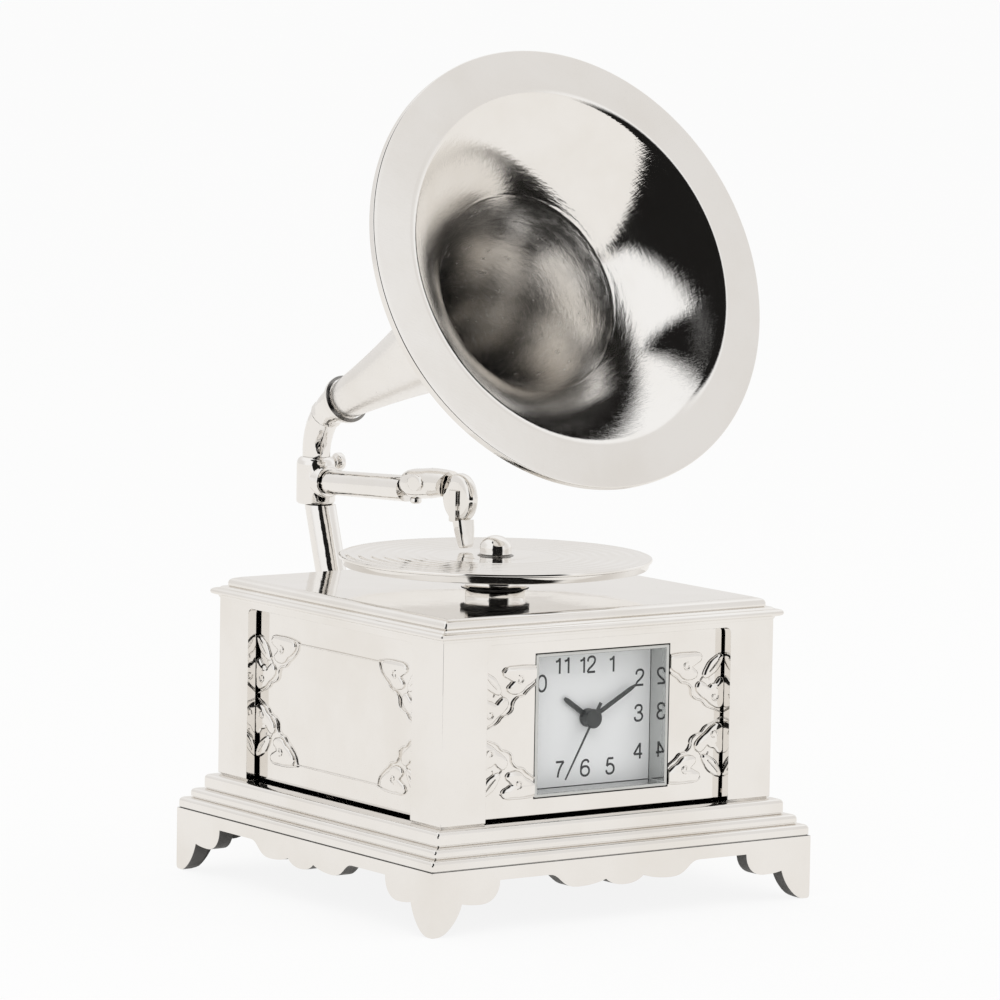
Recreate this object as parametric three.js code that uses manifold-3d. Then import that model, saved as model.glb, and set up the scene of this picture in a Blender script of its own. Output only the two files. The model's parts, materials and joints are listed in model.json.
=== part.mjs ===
// Miniature gramophone clock: a square plated case on scrolled feet, a turntable and a horn on a rear bracket,
// and a small quartz clock that pushes into the front panel. Millimetres, +Z up, the dial faces -Y.

import * as THREE from "three";
import { mergeVertices } from "three/addons/utils/BufferGeometryUtils.js";
import Module from "manifold-3d";

const wasm = await Module();
wasm.setup();

// Square case
const BODY_WIDTH = 44;
const BODY_HEIGHT = 19.9;
const FRAME_WALL = 1.43;
const POST_WIDTH = 5.8;
const HEADER_HEIGHT = 0.6;
const WINDOW_RADIUS = 1;
const PANEL_THICKNESS = 0.8;
const PANEL_SIDE_LAP = 1.2;
const PANEL_HEAD_LAP = 0.3;
const PANEL_FOOT_GAP = 0.5;

// Plinth steps: how far each stands out from the body, and its height
const LOW_STEP_REACH = 3.2;
const LOW_STEP_HEIGHT = 1.3;
const MIDDLE_STEP_REACH = 2.25;
const MIDDLE_STEP_HEIGHT = 1.05;
const TOP_STEP_REACH = 1.15;
const TOP_STEP_HEIGHT = 1.65;
const STEP_NOSE = 0.45;
const BASE_RING_WIDTH = 5.5;

// Foot skirt: the lobes hang from its flat soffit, and the feet reach the ground
const SKIRT_HEIGHT = 7;
const SKIRT_WALL = 1.85;
const SKIRT_PROUD = 0.1;
const SOFFIT_DEPTH = 1.4;
const CENTRE_LOBE_HALF = 2.5;
const CENTRE_LOBE_DROP = 1.85;
const LOBE_CUSP_DROP = 1.05;
const SIDE_LOBE_HALF = 3.75;
const SIDE_LOBE_DROP = 1.6;
const CORNER_LOBE_WIDTH = 4.9;
const CORNER_LOBE_DROP = 2.45;
const NOTCH_DROP = 2.2;
const FOOT_WIDTH = 3.95;
const FOOT_FLAT_WIDTH = 0.6;
const FOOT_FLAT_INSET = 0.6;
const FOOT_ROUND_HEIGHT = 1.15;

// Underside cover and the screws of the case
const COVER_THICKNESS = 0.6;
const COVER_CLEARANCE = 0.3;
const SCREW_RADIUS = 0.5;
const SCREW_LENGTH = 2.2;
const SCREW_HEAD_RADIUS = 1.1;
const SCREW_HEAD_HEIGHT = 0.5;
const SCREW_CLEARANCE = 0.12;

// Cornice and top plate
const CORNICE_REACH = 0.9;
const CORNICE_THICKNESS = 1.3;
const CORNICE_NOSE = 0.6;
const TOP_SETBACK = 0.55;
const TOP_THICKNESS = 1.05;
const TOP_NOSE = 0.3;

// Turntable
const PEDESTAL_RADIUS = 3.35;
const PEDESTAL_HEIGHT = 2.35;
const PEDESTAL_BEAD_RADIUS = 3.65;
const PEDESTAL_BEAD_HEIGHT = 0.3;
const PEDESTAL_NECK_HEIGHT = 0.6;
const SPINDLE_RADIUS = 0.75;
const SPINDLE_CLEARANCE = 0.1;
const PLATTER_RADIUS = 17.1;
const PLATTER_THICKNESS = 0.65;
const PLATTER_HUB_RADIUS = 4.6;
const PLATTER_EDGE_HEIGHT = 0.35;
const PLATTER_RUN_GAP = 0.1;
const RECORD_RADIUS = 17.4;
const RECORD_THICKNESS = 0.4;
const RECORD_BEAD = 0.12;
const WASHER_RADIUS = 1.95;
const WASHER_THICKNESS = 0.15;
const NUT_RADIUS = 1.75;
const NUT_HEIGHT = 2.1;
const NUT_BORE_DEPTH = 1;
const CLIP_RADIUS = 1.7;
const CLIP_THICKNESS = 0.6;

// Rear bracket and tee
const BRACKET_HEIGHT = 14.25;
const BRACKET_RADIUS = 1.8;
const BRACKET_BEND_RADIUS = 7.7;
const BRACKET_LEAN = 18;
const BRACKET_PLATE_WIDTH = 11;
const BRACKET_PLATE_HEIGHT = 6.4;
const BRACKET_PLATE_THICKNESS = 1.3;
const BRACKET_SCREW_SPACING = 7.6;
const TEE_BEHIND_BODY = 14.26;
const TEE_ABOVE_TOP = 5.65;
const TEE_RADIUS = 2.25;
const TEE_HEIGHT = 5.5;
const TEE_ROUNDING = 0.7;
const TEE_POST_OFFSET = 0.95;
const TEE_STUB_RADIUS = 1.85;
const TEE_STUB_LENGTH = 0.7;
const TEE_SCREW_RADIUS = 1;
const TEE_SCREW_LENGTH = 1.2;
const TEE_SCREW_DROP = 0.8;

// Elbow, ferrule, collar and horn
const ELBOW_RADIUS = 1.6;
const ELBOW_SEAM_RADIUS = 1.75;
const ELBOW_RISE = 0.37;
const ELBOW_BEND_RADIUS = 6.3;
const ELBOW_SHARE = 0.66;
const FERRULE_RADIUS = 2.5;
const FERRULE_RUN = 1.8;
const COLLAR_RADIUS = 2.9;
const COLLAR_WIDTH = 0.7;
const HORN_TILT = 22.66;
const HORN_LENGTH = 47.6;
const HORN_THROAT_RADIUS = 1.8;
const HORN_BOWL_RADIUS = 20.1;
const HORN_RIM_RADIUS = 25;
const HORN_RIM_SETBACK = 0.33;
const HORN_BELLY = 1.45;
const HORN_WALL = 0.45;
const TURNED_GAP = 0.3;

// Tone arm and sound box
const ARM_RADIUS = 1.5;
const ARM_ABOVE_TEE_FOOT = 2.75;
const ARM_RISE = 3;
const BLOCK_LENGTH = 7.9;
const BLOCK_RADIUS = 1.75;
const BLOCK_LIFT = 1.05;
const BLOCK_SCREW_RADIUS = 0.65;
const BLOCK_SCREW_LENGTH = 0.7;
const BLOCK_SCREW_INSET = 1.6;
const BOX_FROM_SPINDLE = 7.04;
const BOX_RADIUS = 2.75;
const BOX_THICKNESS = 1.5;
const BOX_BEAD = 0.25;
const NEEDLE_BAR_WIDTH = 1.3;
const NEEDLE_BAR_THICKNESS = 0.4;
const NEEDLE_BAR_RISE = 0.9;
const CHUCK_TOP_RADIUS = 1.05;
const CHUCK_TIP_RADIUS = 0.85;
const CHUCK_FORWARD = 1.3;
const CHUCK_LEAN = 12;
const NEEDLE_GAP = 0.25;

// Clock that pushes into the front panel
const BEZEL_WIDTH = 17.8;
const BEZEL_HEIGHT = 15.6;
const BEZEL_DEPTH = 8;
const BEZEL_WALL = 0.4;
const BEZEL_PROUD = 0.07;
const BEZEL_CENTRE = 9.95;
const PANEL_HOLE_CLEARANCE = 0.12;
const SLEEVE_WALL = 1.2;
const SLEEVE_DEPTH = 5.4;
const INSERT_FIT = 0.06;
const CRYSTAL_SETBACK = 0.3;
const CRYSTAL_THICKNESS = 0.5;
const DIAL_DEPTH = 2.9;
const DIAL_THICKNESS = 0.3;

// Hands: length from the centre, width, and where each points, in degrees clockwise from twelve
const HAND_THICKNESS = 0.15;
const HAND_SPACING = 0.45;
const HOUR_HAND_LENGTH = 4.05;
const HOUR_HAND_WIDTH = 0.5;
const HOUR_HAND_ANGLE = 305.3;
const MINUTE_HAND_LENGTH = 6.7;
const MINUTE_HAND_WIDTH = 0.45;
const MINUTE_HAND_ANGLE = 61;
const SECOND_HAND_LENGTH = 7.4;
const SECOND_HAND_WIDTH = 0.15;
const SECOND_HAND_TAIL = 1.9;
const SECOND_HAND_ANGLE = 209.5;
const HAND_CAP_RADIUS = 0.97;

// Motion work and hand setting: module, and teeth of each wheel
const MOTION_MODULE = 0.125;
const CANNON_TEETH = 12;
const MINUTE_WHEEL_TEETH = 36;
const MINUTE_PINION_TEETH = 10;
const HOUR_WHEEL_TEETH = 40;
const KNOB_TEETH = 12;
const KNOB_DIRECTION = 60;

// Running train: module of each mesh, and teeth of each wheel
const CENTRE_TEETH = 48;
const THIRD_PINION_TEETH = 6;
const THIRD_TEETH = 45;
const SECONDS_PINION_TEETH = 6;
const THIRD_MODULE = 0.11;
const SECONDS_TEETH = 36;
const FIFTH_PINION_TEETH = 6;
const FIFTH_MODULE = 0.135;
const FIFTH_TEETH = 30;
const ROTOR_PINION_TEETH = 6;
const ROTOR_MODULE = 0.1;
const THIRD_DIRECTION = 90;
const FIFTH_DIRECTION = -45;
const ROTOR_DIRECTION = 0;

// Arbors and layers of the movement
const SECONDS_ARBOR = 0.12;
const CENTRE_ARBOR = 0.38;
const CANNON_ARBOR = 0.58;
const HOUR_ARBOR = 0.85;
const ARBOR_CLEARANCE = 0.07;
const TRAIN_ARBOR = 0.15;
const WHEEL_THICKNESS = 0.25;
const PINION_OVERHANG = 0.08;
const LAYER_GAP = 0.15;
const PLATE_THICKNESS = 0.5;
const ROTOR_MAGNET_RADIUS = 0.9;
const ROTOR_MAGNET_HEIGHT = 1;
const STATOR_THICKNESS = 0.6;
const STATOR_GAP = 0.25;
const STATOR_LIMB = 0.5;
const COIL_RADIUS = 0.7;
const COIL_LENGTH = 4.4;
const BATTERY_RADIUS = 2.9;
const BATTERY_THICKNESS = 2.15;
const BOARD_THICKNESS = 0.4;
const KNOB_RADIUS = 1.4;
const KNOB_HEIGHT = 1;
const KNOB_ARBOR = 0.35;

const FINE = 40;
const ROUND = 24;
const SMALL = 16;
const TINY = 12;
const CUT = 1;

// Heights and faces that several pieces share
const BODY_HALF = BODY_WIDTH / 2;
const STEPS_BASE = SKIRT_HEIGHT;
const BODY_BASE = STEPS_BASE + LOW_STEP_HEIGHT + MIDDLE_STEP_HEIGHT + TOP_STEP_HEIGHT;
const BODY_TOP = BODY_BASE + BODY_HEIGHT;
const CORNICE_TOP = BODY_TOP + CORNICE_THICKNESS;
const TOP_FACE = CORNICE_TOP + TOP_THICKNESS;
const FRAME_INSIDE = BODY_HALF - FRAME_WALL;
const PANEL_INSIDE = FRAME_INSIDE - PANEL_THICKNESS;
const WINDOW_HALF = BODY_HALF - POST_WIDTH;
const LOW_STEP_HALF = BODY_HALF + LOW_STEP_REACH;
const SKIRT_HALF = LOW_STEP_HALF + SKIRT_PROUD;
const PLATTER_BASE = TOP_FACE + PEDESTAL_HEIGHT + PLATTER_RUN_GAP;
const RECORD_BASE = PLATTER_BASE + PLATTER_THICKNESS;
const RECORD_TOP = RECORD_BASE + RECORD_THICKNESS;
const NUT_BASE = RECORD_TOP + WASHER_THICKNESS;
const TEE_Y = BODY_HALF + TEE_BEHIND_BODY;
const TEE_BASE = TOP_FACE + TEE_ABOVE_TOP;
const TEE_TOP = TEE_BASE + TEE_HEIGHT;
const ARM_START_Y = TEE_Y - TEE_RADIUS - TEE_STUB_LENGTH - TURNED_GAP;
const BOX_BACK_Y = BOX_FROM_SPINDLE + BOX_RADIUS;

const X_AXIS = new THREE.Vector3(1, 0, 0);
const radians = THREE.MathUtils.degToRad;

// A closed geometry as a solid, and back
function solidOf(geometry) {
  const bare = geometry.index ? geometry.toNonIndexed() : geometry.clone();
  for (const name of Object.keys(bare.attributes)) {
    if (name !== "position") bare.deleteAttribute(name);
  }
  const merged = mergeVertices(bare, 1e-4);
  return new wasm.Manifold(
    new wasm.Mesh({
      numProp: 3,
      vertProperties: merged.attributes.position.array,
      triVerts: new Uint32Array(merged.index.array),
    }),
  );
}

function geometryOf(solid) {
  const mesh = solid.getMesh();
  const geometry = new THREE.BufferGeometry();
  geometry.setAttribute("position", new THREE.BufferAttribute(mesh.vertProperties, 3));
  geometry.setIndex(new THREE.BufferAttribute(mesh.triVerts, 1));
  return geometry.toNonIndexed();
}

function join(first, ...others) {
  return geometryOf(others.reduce((sum, next) => sum.add(solidOf(next)), solidOf(first)));
}

function cut(body, ...tools) {
  return geometryOf(tools.reduce((rest, tool) => rest.subtract(solidOf(tool)), solidOf(body)));
}

function common(body, ...others) {
  return geometryOf(others.reduce((rest, next) => rest.intersect(solidOf(next)), solidOf(body)));
}

// A box from its lowest to its highest corner
function block(x0, y0, z0, x1, y1, z1) {
  return new THREE.BoxGeometry(x1 - x0, y1 - y0, z1 - z0)
    .translate((x0 + x1) / 2, (y0 + y1) / 2, (z0 + z1) / 2);
}

// Outlines drawn in the XY, XZ or YZ plane and given a depth along the third axis
function alongZ(shape, from, to) {
  return new THREE.ExtrudeGeometry(shape, { depth: to - from, bevelEnabled: false, curveSegments: 8 })
    .translate(0, 0, from);
}

function alongY(shape, from, to) {
  const turn = new THREE.Matrix4().makeBasis(
    new THREE.Vector3(1, 0, 0),
    new THREE.Vector3(0, 0, 1),
    new THREE.Vector3(0, -1, 0),
  );
  return new THREE.ExtrudeGeometry(shape, { depth: to - from, bevelEnabled: false, curveSegments: 8 })
    .applyMatrix4(turn)
    .translate(0, to, 0);
}

function alongX(shape, from, to) {
  const turn = new THREE.Matrix4().makeBasis(
    new THREE.Vector3(0, 1, 0),
    new THREE.Vector3(0, 0, 1),
    new THREE.Vector3(1, 0, 0),
  );
  return new THREE.ExtrudeGeometry(shape, { depth: to - from, bevelEnabled: false, curveSegments: 8 })
    .applyMatrix4(turn)
    .translate(from, 0, 0);
}

// Round pieces: a profile of [radius, height] pairs turned about Z
function turned(profile, segments) {
  const points = profile.map(([radius, height]) => new THREE.Vector2(radius, height));
  return new THREE.LatheGeometry(points, segments).rotateX(Math.PI / 2);
}

function diskZ(radius, from, to, segments) {
  return turned([[0, from], [radius, from], [radius, to], [0, to]], segments);
}

function rodY(radius, from, to, segments, x = 0, z = 0) {
  return diskZ(radius, from, to, segments).rotateX(-Math.PI / 2).translate(x, 0, z);
}

function rodX(radius, from, to, segments, y, z) {
  return diskZ(radius, from, to, segments).rotateY(Math.PI / 2).translate(0, y, z);
}

// A square slab whose edge is rounded all round
function roundedSlab(half, from, to, nose) {
  const inner = half - nose;
  const square = new THREE.Shape();
  square.moveTo(-inner, -inner);
  square.lineTo(inner, -inner);
  square.lineTo(inner, inner);
  square.lineTo(-inner, inner);
  square.closePath();
  const settings = { depth: to - from - 2 * nose, bevelThickness: nose, bevelSize: nose, bevelSegments: 3 };
  return new THREE.ExtrudeGeometry(square, settings).translate(0, 0, from + nose);
}

// A straight run, a round bend in the YZ plane and a second run, starting at a point in a direction
function bentPath(start, startAngle, firstRun, bendRadius, turn, secondRun) {
  const at = (y, z) => new THREE.Vector3(0, y, z);
  const heading = (angle) => at(Math.cos(angle), Math.sin(angle));
  const endAngle = startAngle + turn;
  const bendStart = start.clone().addScaledVector(heading(startAngle), firstRun);
  const side = Math.sign(turn) * Math.PI / 2;
  const centre = bendStart.clone().addScaledVector(heading(startAngle + side), bendRadius);
  const bendEnd = centre.clone().addScaledVector(heading(endAngle - side), bendRadius);
  const handle = (4 / 3) * Math.tan(Math.abs(turn) / 4) * bendRadius;
  const end = bendEnd.clone().addScaledVector(heading(endAngle), secondRun);
  const path = new THREE.CurvePath();
  if (firstRun > 0) path.add(new THREE.LineCurve3(start, bendStart));
  path.add(new THREE.CubicBezierCurve3(
    bendStart,
    bendStart.clone().addScaledVector(heading(startAngle), handle),
    bendEnd.clone().addScaledVector(heading(endAngle), -handle),
    bendEnd,
  ));
  if (secondRun > 0) path.add(new THREE.LineCurve3(bendEnd, end));
  return path;
}

// A round bar along a path in the YZ plane, its radius given at each share of the way
function roundBar(path, radiusAt, rings, sides) {
  const profile = [new THREE.Vector2(0, 0)];
  for (let ring = 0; ring <= rings; ring += 1) {
    profile.push(new THREE.Vector2(radiusAt(ring / rings), ring / rings));
  }
  profile.push(new THREE.Vector2(0, 1));
  const geometry = new THREE.LatheGeometry(profile, sides);
  const place = geometry.getAttribute("position");
  for (let i = 0; i < place.count; i += 1) {
    const share = place.getY(i);
    const centre = path.getPointAt(share);
    const ahead = path.getTangentAt(share);
    const across = new THREE.Vector3().crossVectors(X_AXIS, ahead);
    centre.addScaledVector(X_AXIS, place.getX(i)).addScaledVector(across, place.getZ(i));
    place.setXYZ(i, centre.x, centre.y, centre.z);
  }
  return geometry;
}

// Finishes
function finish(color, roughness, metalness) {
  return new THREE.MeshStandardMaterial({ color, roughness, metalness });
}

const PLATED = finish(0xe4e2dd, 0.08, 1);
const BRASS = finish(0xc9a45a, 0.3, 1);
const STEEL = finish(0x9a9da1, 0.35, 1);
const DARK_HAND = finish(0x3c3d3f, 0.5, 0.4);
const DIAL_WHITE = finish(0xeceeee, 0.6, 0);
const GLASS = finish(0xf4f8f8, 0.02, 0);
const BLACK_PLASTIC = finish(0x202123, 0.55, 0);
const WHITE_PLASTIC = finish(0xe8e6e0, 0.5, 0);
const COPPER = finish(0xb4632f, 0.35, 1);
const BOARD_GREEN = finish(0x2f5d3a, 0.6, 0);

const clock = new THREE.Group();

function add(name, geometry, material, parent = clock) {
  const mesh = new THREE.Mesh(geometry, material);
  mesh.name = name;
  parent.add(mesh);
  return mesh;
}

// Foot skirt: one scalloped outline, cut through all four walls
function skirtOutline() {
  const soffit = SKIRT_HEIGHT - SOFFIT_DEPTH;
  const cusp = CENTRE_LOBE_HALF;
  const lobeMiddle = cusp + SIDE_LOBE_HALF;
  const lobeEnd = lobeMiddle + SIDE_LOBE_HALF;
  const notch = SKIRT_HALF - FOOT_WIDTH;
  const cornerLobe = notch - CORNER_LOBE_WIDTH;
  const flatOuter = SKIRT_HALF - FOOT_FLAT_INSET;
  const flatInner = flatOuter - FOOT_FLAT_WIDTH;
  const lobeBottom = soffit - SIDE_LOBE_DROP;
  const cornerBottom = soffit - CORNER_LOBE_DROP;
  const notchHeight = soffit - NOTCH_DROP;
  const cornerMiddle = cornerLobe + CORNER_LOBE_WIDTH / 2;
  const half = new THREE.Path();
  half.moveTo(0, soffit - CENTRE_LOBE_DROP);
  half.quadraticCurveTo(cusp * 0.66, soffit - CENTRE_LOBE_DROP, cusp, soffit - LOBE_CUSP_DROP);
  half.quadraticCurveTo(cusp + SIDE_LOBE_HALF * 0.4, lobeBottom, lobeMiddle, lobeBottom);
  half.bezierCurveTo(
    lobeMiddle + SIDE_LOBE_HALF * 0.6, lobeBottom,
    lobeMiddle + SIDE_LOBE_HALF * 0.6, soffit,
    lobeEnd, soffit,
  );
  half.lineTo(cornerLobe, soffit);
  half.bezierCurveTo(
    cornerLobe, soffit - CORNER_LOBE_DROP * 0.6,
    cornerLobe + CORNER_LOBE_WIDTH * 0.2, cornerBottom,
    cornerMiddle, cornerBottom,
  );
  half.quadraticCurveTo(notch - CORNER_LOBE_WIDTH * 0.2, cornerBottom, notch, notchHeight);
  half.bezierCurveTo(
    notch + FOOT_WIDTH * 0.08, notchHeight * 0.5,
    flatInner - FOOT_WIDTH * 0.33, notchHeight * 0.03,
    flatInner, 0,
  );
  half.lineTo(flatOuter, 0);
  half.bezierCurveTo(
    flatOuter + FOOT_FLAT_INSET * 0.6, 0,
    SKIRT_HALF, FOOT_ROUND_HEIGHT * 0.4,
    SKIRT_HALF, FOOT_ROUND_HEIGHT,
  );
  half.lineTo(SKIRT_HALF, SKIRT_HEIGHT);
  const right = half.getPoints(5);
  const left = right.slice(1).reverse().map((point) => new THREE.Vector2(-point.x, point.y));
  return new THREE.Shape([...left, ...right]);
}

function makeSkirt() {
  const inside = SKIRT_HALF - SKIRT_WALL;
  const ring = cut(
    block(-SKIRT_HALF, -SKIRT_HALF, 0, SKIRT_HALF, SKIRT_HALF, SKIRT_HEIGHT),
    block(-inside, -inside, -CUT, inside, inside, SKIRT_HEIGHT + CUT),
  );
  const outline = skirtOutline();
  const reach = SKIRT_HALF + CUT;
  const fromFront = alongY(outline, -reach, reach);
  const fromSide = alongX(outline, -reach, reach);
  add("foot_skirt", common(ring, fromFront, fromSide), PLATED);
}

// Base moulding, cover and screws
const SCREW_PLACE = BODY_HALF - BASE_RING_WIDTH + (BASE_RING_WIDTH / 2);

function screwCorners() {
  return [[-1, -1], [1, -1], [1, 1], [-1, 1]].map(([x, y]) => [x * SCREW_PLACE, y * SCREW_PLACE]);
}

function screwZ() {
  return turned([
    [0, -SCREW_HEAD_HEIGHT],
    [SCREW_HEAD_RADIUS * 0.7, -SCREW_HEAD_HEIGHT],
    [SCREW_HEAD_RADIUS, -SCREW_HEAD_HEIGHT * 0.4],
    [SCREW_HEAD_RADIUS, 0],
    [SCREW_RADIUS, 0],
    [SCREW_RADIUS, SCREW_LENGTH],
    [0, SCREW_LENGTH],
  ], SMALL);
}

function makeBase() {
  const middleBase = STEPS_BASE + LOW_STEP_HEIGHT;
  const topBase = middleBase + MIDDLE_STEP_HEIGHT;
  const opening = BODY_HALF - BASE_RING_WIDTH;
  const core = BODY_HALF - STEP_NOSE;
  const steps = join(
    block(-core, -core, STEPS_BASE, core, core, BODY_BASE),
    roundedSlab(LOW_STEP_HALF, STEPS_BASE, middleBase, STEP_NOSE),
    roundedSlab(BODY_HALF + MIDDLE_STEP_REACH, middleBase, topBase, STEP_NOSE),
    roundedSlab(BODY_HALF + TOP_STEP_REACH, topBase, BODY_BASE, STEP_NOSE),
  );
  const pilot = SCREW_RADIUS + SCREW_CLEARANCE;
  const coverBase = STEPS_BASE - COVER_THICKNESS;
  const holeTop = coverBase + SCREW_LENGTH + SCREW_CLEARANCE;
  const holes = screwCorners().map(([x, y]) => diskZ(pilot, coverBase - CUT, holeTop, TINY).translate(x, y, 0));
  const well = block(-opening, -opening, STEPS_BASE - CUT, opening, opening, BODY_BASE + CUT);
  add("base_moulding", cut(steps, well, ...holes), PLATED);

  const coverHalf = SKIRT_HALF - SKIRT_WALL - COVER_CLEARANCE;
  const cover = block(-coverHalf, -coverHalf, coverBase, coverHalf, coverHalf, STEPS_BASE);
  add("base_cover", cut(cover, ...holes), BLACK_PLASTIC);
  screwCorners().forEach(([x, y], index) => {
    add(`base_screw_${index + 1}`, screwZ(), STEEL).position.set(x, y, coverBase);
  });
}

// Case frame: four posts and a header, with a window in each wall
function windowOutline() {
  const top = BODY_TOP - HEADER_HEIGHT;
  const shape = new THREE.Shape();
  shape.moveTo(-WINDOW_HALF, BODY_BASE - CUT);
  shape.lineTo(WINDOW_HALF, BODY_BASE - CUT);
  shape.lineTo(WINDOW_HALF, top - WINDOW_RADIUS);
  shape.quadraticCurveTo(WINDOW_HALF, top, WINDOW_HALF - WINDOW_RADIUS, top);
  shape.lineTo(-WINDOW_HALF + WINDOW_RADIUS, top);
  shape.quadraticCurveTo(-WINDOW_HALF, top, -WINDOW_HALF, top - WINDOW_RADIUS);
  shape.closePath();
  return shape;
}

function makeFrame() {
  const reach = BODY_HALF + CUT;
  const frame = cut(
    block(-BODY_HALF, -BODY_HALF, BODY_BASE, BODY_HALF, BODY_HALF, BODY_TOP),
    block(-FRAME_INSIDE, -FRAME_INSIDE, BODY_BASE - CUT, FRAME_INSIDE, FRAME_INSIDE, BODY_TOP + CUT),
    alongY(windowOutline(), -reach, reach),
    alongX(windowOutline(), -reach, reach),
  );
  add("case_frame", frame, PLATED);
}

// Panels behind the windows: the front one holds the clock, the back one the bracket
const PANEL_BASE = BODY_BASE + PANEL_FOOT_GAP;
const PANEL_TOP = BODY_TOP - HEADER_HEIGHT + PANEL_HEAD_LAP;
const PANEL_HALF = WINDOW_HALF + PANEL_SIDE_LAP;
const CLOCK_Z = BODY_BASE + BEZEL_CENTRE;
const CLOCK_Y = -FRAME_INSIDE - BEZEL_PROUD;
const BRACKET_Z = BODY_BASE + BRACKET_HEIGHT;

function bracketScrewPlaces() {
  return [-BRACKET_SCREW_SPACING / 2, BRACKET_SCREW_SPACING / 2];
}

function makePanels() {
  const hole = PANEL_HOLE_CLEARANCE;
  const front = cut(
    block(-PANEL_HALF, -FRAME_INSIDE, PANEL_BASE, PANEL_HALF, -PANEL_INSIDE, PANEL_TOP),
    block(
      -BEZEL_WIDTH / 2 - hole, -FRAME_INSIDE - CUT, CLOCK_Z - BEZEL_HEIGHT / 2 - hole,
      BEZEL_WIDTH / 2 + hole, -PANEL_INSIDE + CUT, CLOCK_Z + BEZEL_HEIGHT / 2 + hole,
    ),
  );
  add("panel_front", front, PLATED);
  const screwHoles = bracketScrewPlaces().map((x) => (
    rodY(SCREW_RADIUS + SCREW_CLEARANCE, PANEL_INSIDE - CUT, FRAME_INSIDE + CUT, TINY, x, BRACKET_Z)
  ));
  const back = cut(
    block(-PANEL_HALF, PANEL_INSIDE, PANEL_BASE, PANEL_HALF, FRAME_INSIDE, PANEL_TOP),
    ...screwHoles,
  );
  add("panel_back", back, PLATED);
  add("panel_left", block(-FRAME_INSIDE, -PANEL_HALF, PANEL_BASE, -PANEL_INSIDE, PANEL_HALF, PANEL_TOP), PLATED);
  add("panel_right", block(PANEL_INSIDE, -PANEL_HALF, PANEL_BASE, FRAME_INSIDE, PANEL_HALF, PANEL_TOP), PLATED);
}

// Cornice and top plate, both bored for the spindle
function makeTop() {
  const bore = diskZ(SPINDLE_RADIUS + SPINDLE_CLEARANCE, BODY_TOP - CUT, TOP_FACE + CUT, SMALL);
  const cornice = roundedSlab(BODY_HALF + CORNICE_REACH, BODY_TOP, CORNICE_TOP, CORNICE_NOSE);
  const top = roundedSlab(BODY_HALF - TOP_SETBACK, CORNICE_TOP, TOP_FACE, TOP_NOSE);
  add("cornice", cut(cornice, bore), PLATED);
  add("top_plate", cut(top, bore), PLATED);
}

// Turntable: a fixed pedestal, and a platter and record that turn with the spindle
function makeTurntable() {
  const bore = SPINDLE_RADIUS + SPINDLE_CLEARANCE;
  const neck = PEDESTAL_HEIGHT - PEDESTAL_NECK_HEIGHT;
  const pedestal = turned([
    [bore, 0],
    [PEDESTAL_RADIUS, 0],
    [PEDESTAL_RADIUS, neck - PEDESTAL_BEAD_HEIGHT],
    [PEDESTAL_BEAD_RADIUS, neck - PEDESTAL_BEAD_HEIGHT / 2],
    [PEDESTAL_RADIUS, neck],
    [PEDESTAL_RADIUS, PEDESTAL_HEIGHT],
    [bore, PEDESTAL_HEIGHT],
    [bore, 0],
  ], ROUND);
  add("pedestal", pedestal, PLATED).position.z = TOP_FACE;

  const platter = turned([
    [bore, 0],
    [PLATTER_HUB_RADIUS, 0],
    [PLATTER_RADIUS - PLATTER_EDGE_HEIGHT, PLATTER_THICKNESS - PLATTER_EDGE_HEIGHT],
    [PLATTER_RADIUS, PLATTER_THICKNESS - PLATTER_EDGE_HEIGHT / 2],
    [PLATTER_RADIUS, PLATTER_THICKNESS],
    [bore, PLATTER_THICKNESS],
    [bore, 0],
  ], FINE);
  add("platter", platter, PLATED).position.z = PLATTER_BASE;

  const record = turned([
    [bore, 0],
    [RECORD_RADIUS - RECORD_BEAD, 0],
    [RECORD_RADIUS, RECORD_THICKNESS / 2],
    [RECORD_RADIUS - RECORD_BEAD, RECORD_THICKNESS],
    [bore, RECORD_THICKNESS],
    [bore, 0],
  ], FINE);
  add("record", record, PLATED).position.z = RECORD_BASE;

  const washer = turned([
    [bore, 0],
    [WASHER_RADIUS, 0],
    [WASHER_RADIUS, WASHER_THICKNESS],
    [bore, WASHER_THICKNESS],
    [bore, 0],
  ], ROUND);
  add("record_washer", washer, PLATED).position.z = RECORD_TOP;

  const dome = [[0, NUT_BORE_DEPTH], [bore, NUT_BORE_DEPTH], [bore, 0], [NUT_RADIUS * 0.96, 0]];
  const domeSteps = 5;
  const flank = NUT_HEIGHT * 0.4;
  for (let step = 0; step < domeSteps; step += 1) {
    const angle = (step / domeSteps) * Math.PI / 2;
    dome.push([NUT_RADIUS * Math.cos(angle), flank + (NUT_HEIGHT - flank) * Math.sin(angle)]);
  }
  dome.push([0, NUT_HEIGHT]);
  add("dome_nut", turned(dome, ROUND), PLATED).position.z = NUT_BASE;

  const clipBase = BODY_TOP - PLATTER_RUN_GAP - CLIP_THICKNESS;
  const spindleTop = NUT_BASE + NUT_BORE_DEPTH - SPINDLE_CLEARANCE;
  add("spindle", diskZ(SPINDLE_RADIUS, clipBase - CLIP_THICKNESS, spindleTop, SMALL), STEEL);
  const clip = turned([
    [bore, 0],
    [CLIP_RADIUS, 0],
    [CLIP_RADIUS, CLIP_THICKNESS],
    [bore, CLIP_THICKNESS],
    [bore, 0],
  ], SMALL);
  add("spindle_clip", clip, STEEL).position.z = clipBase;
}

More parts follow.
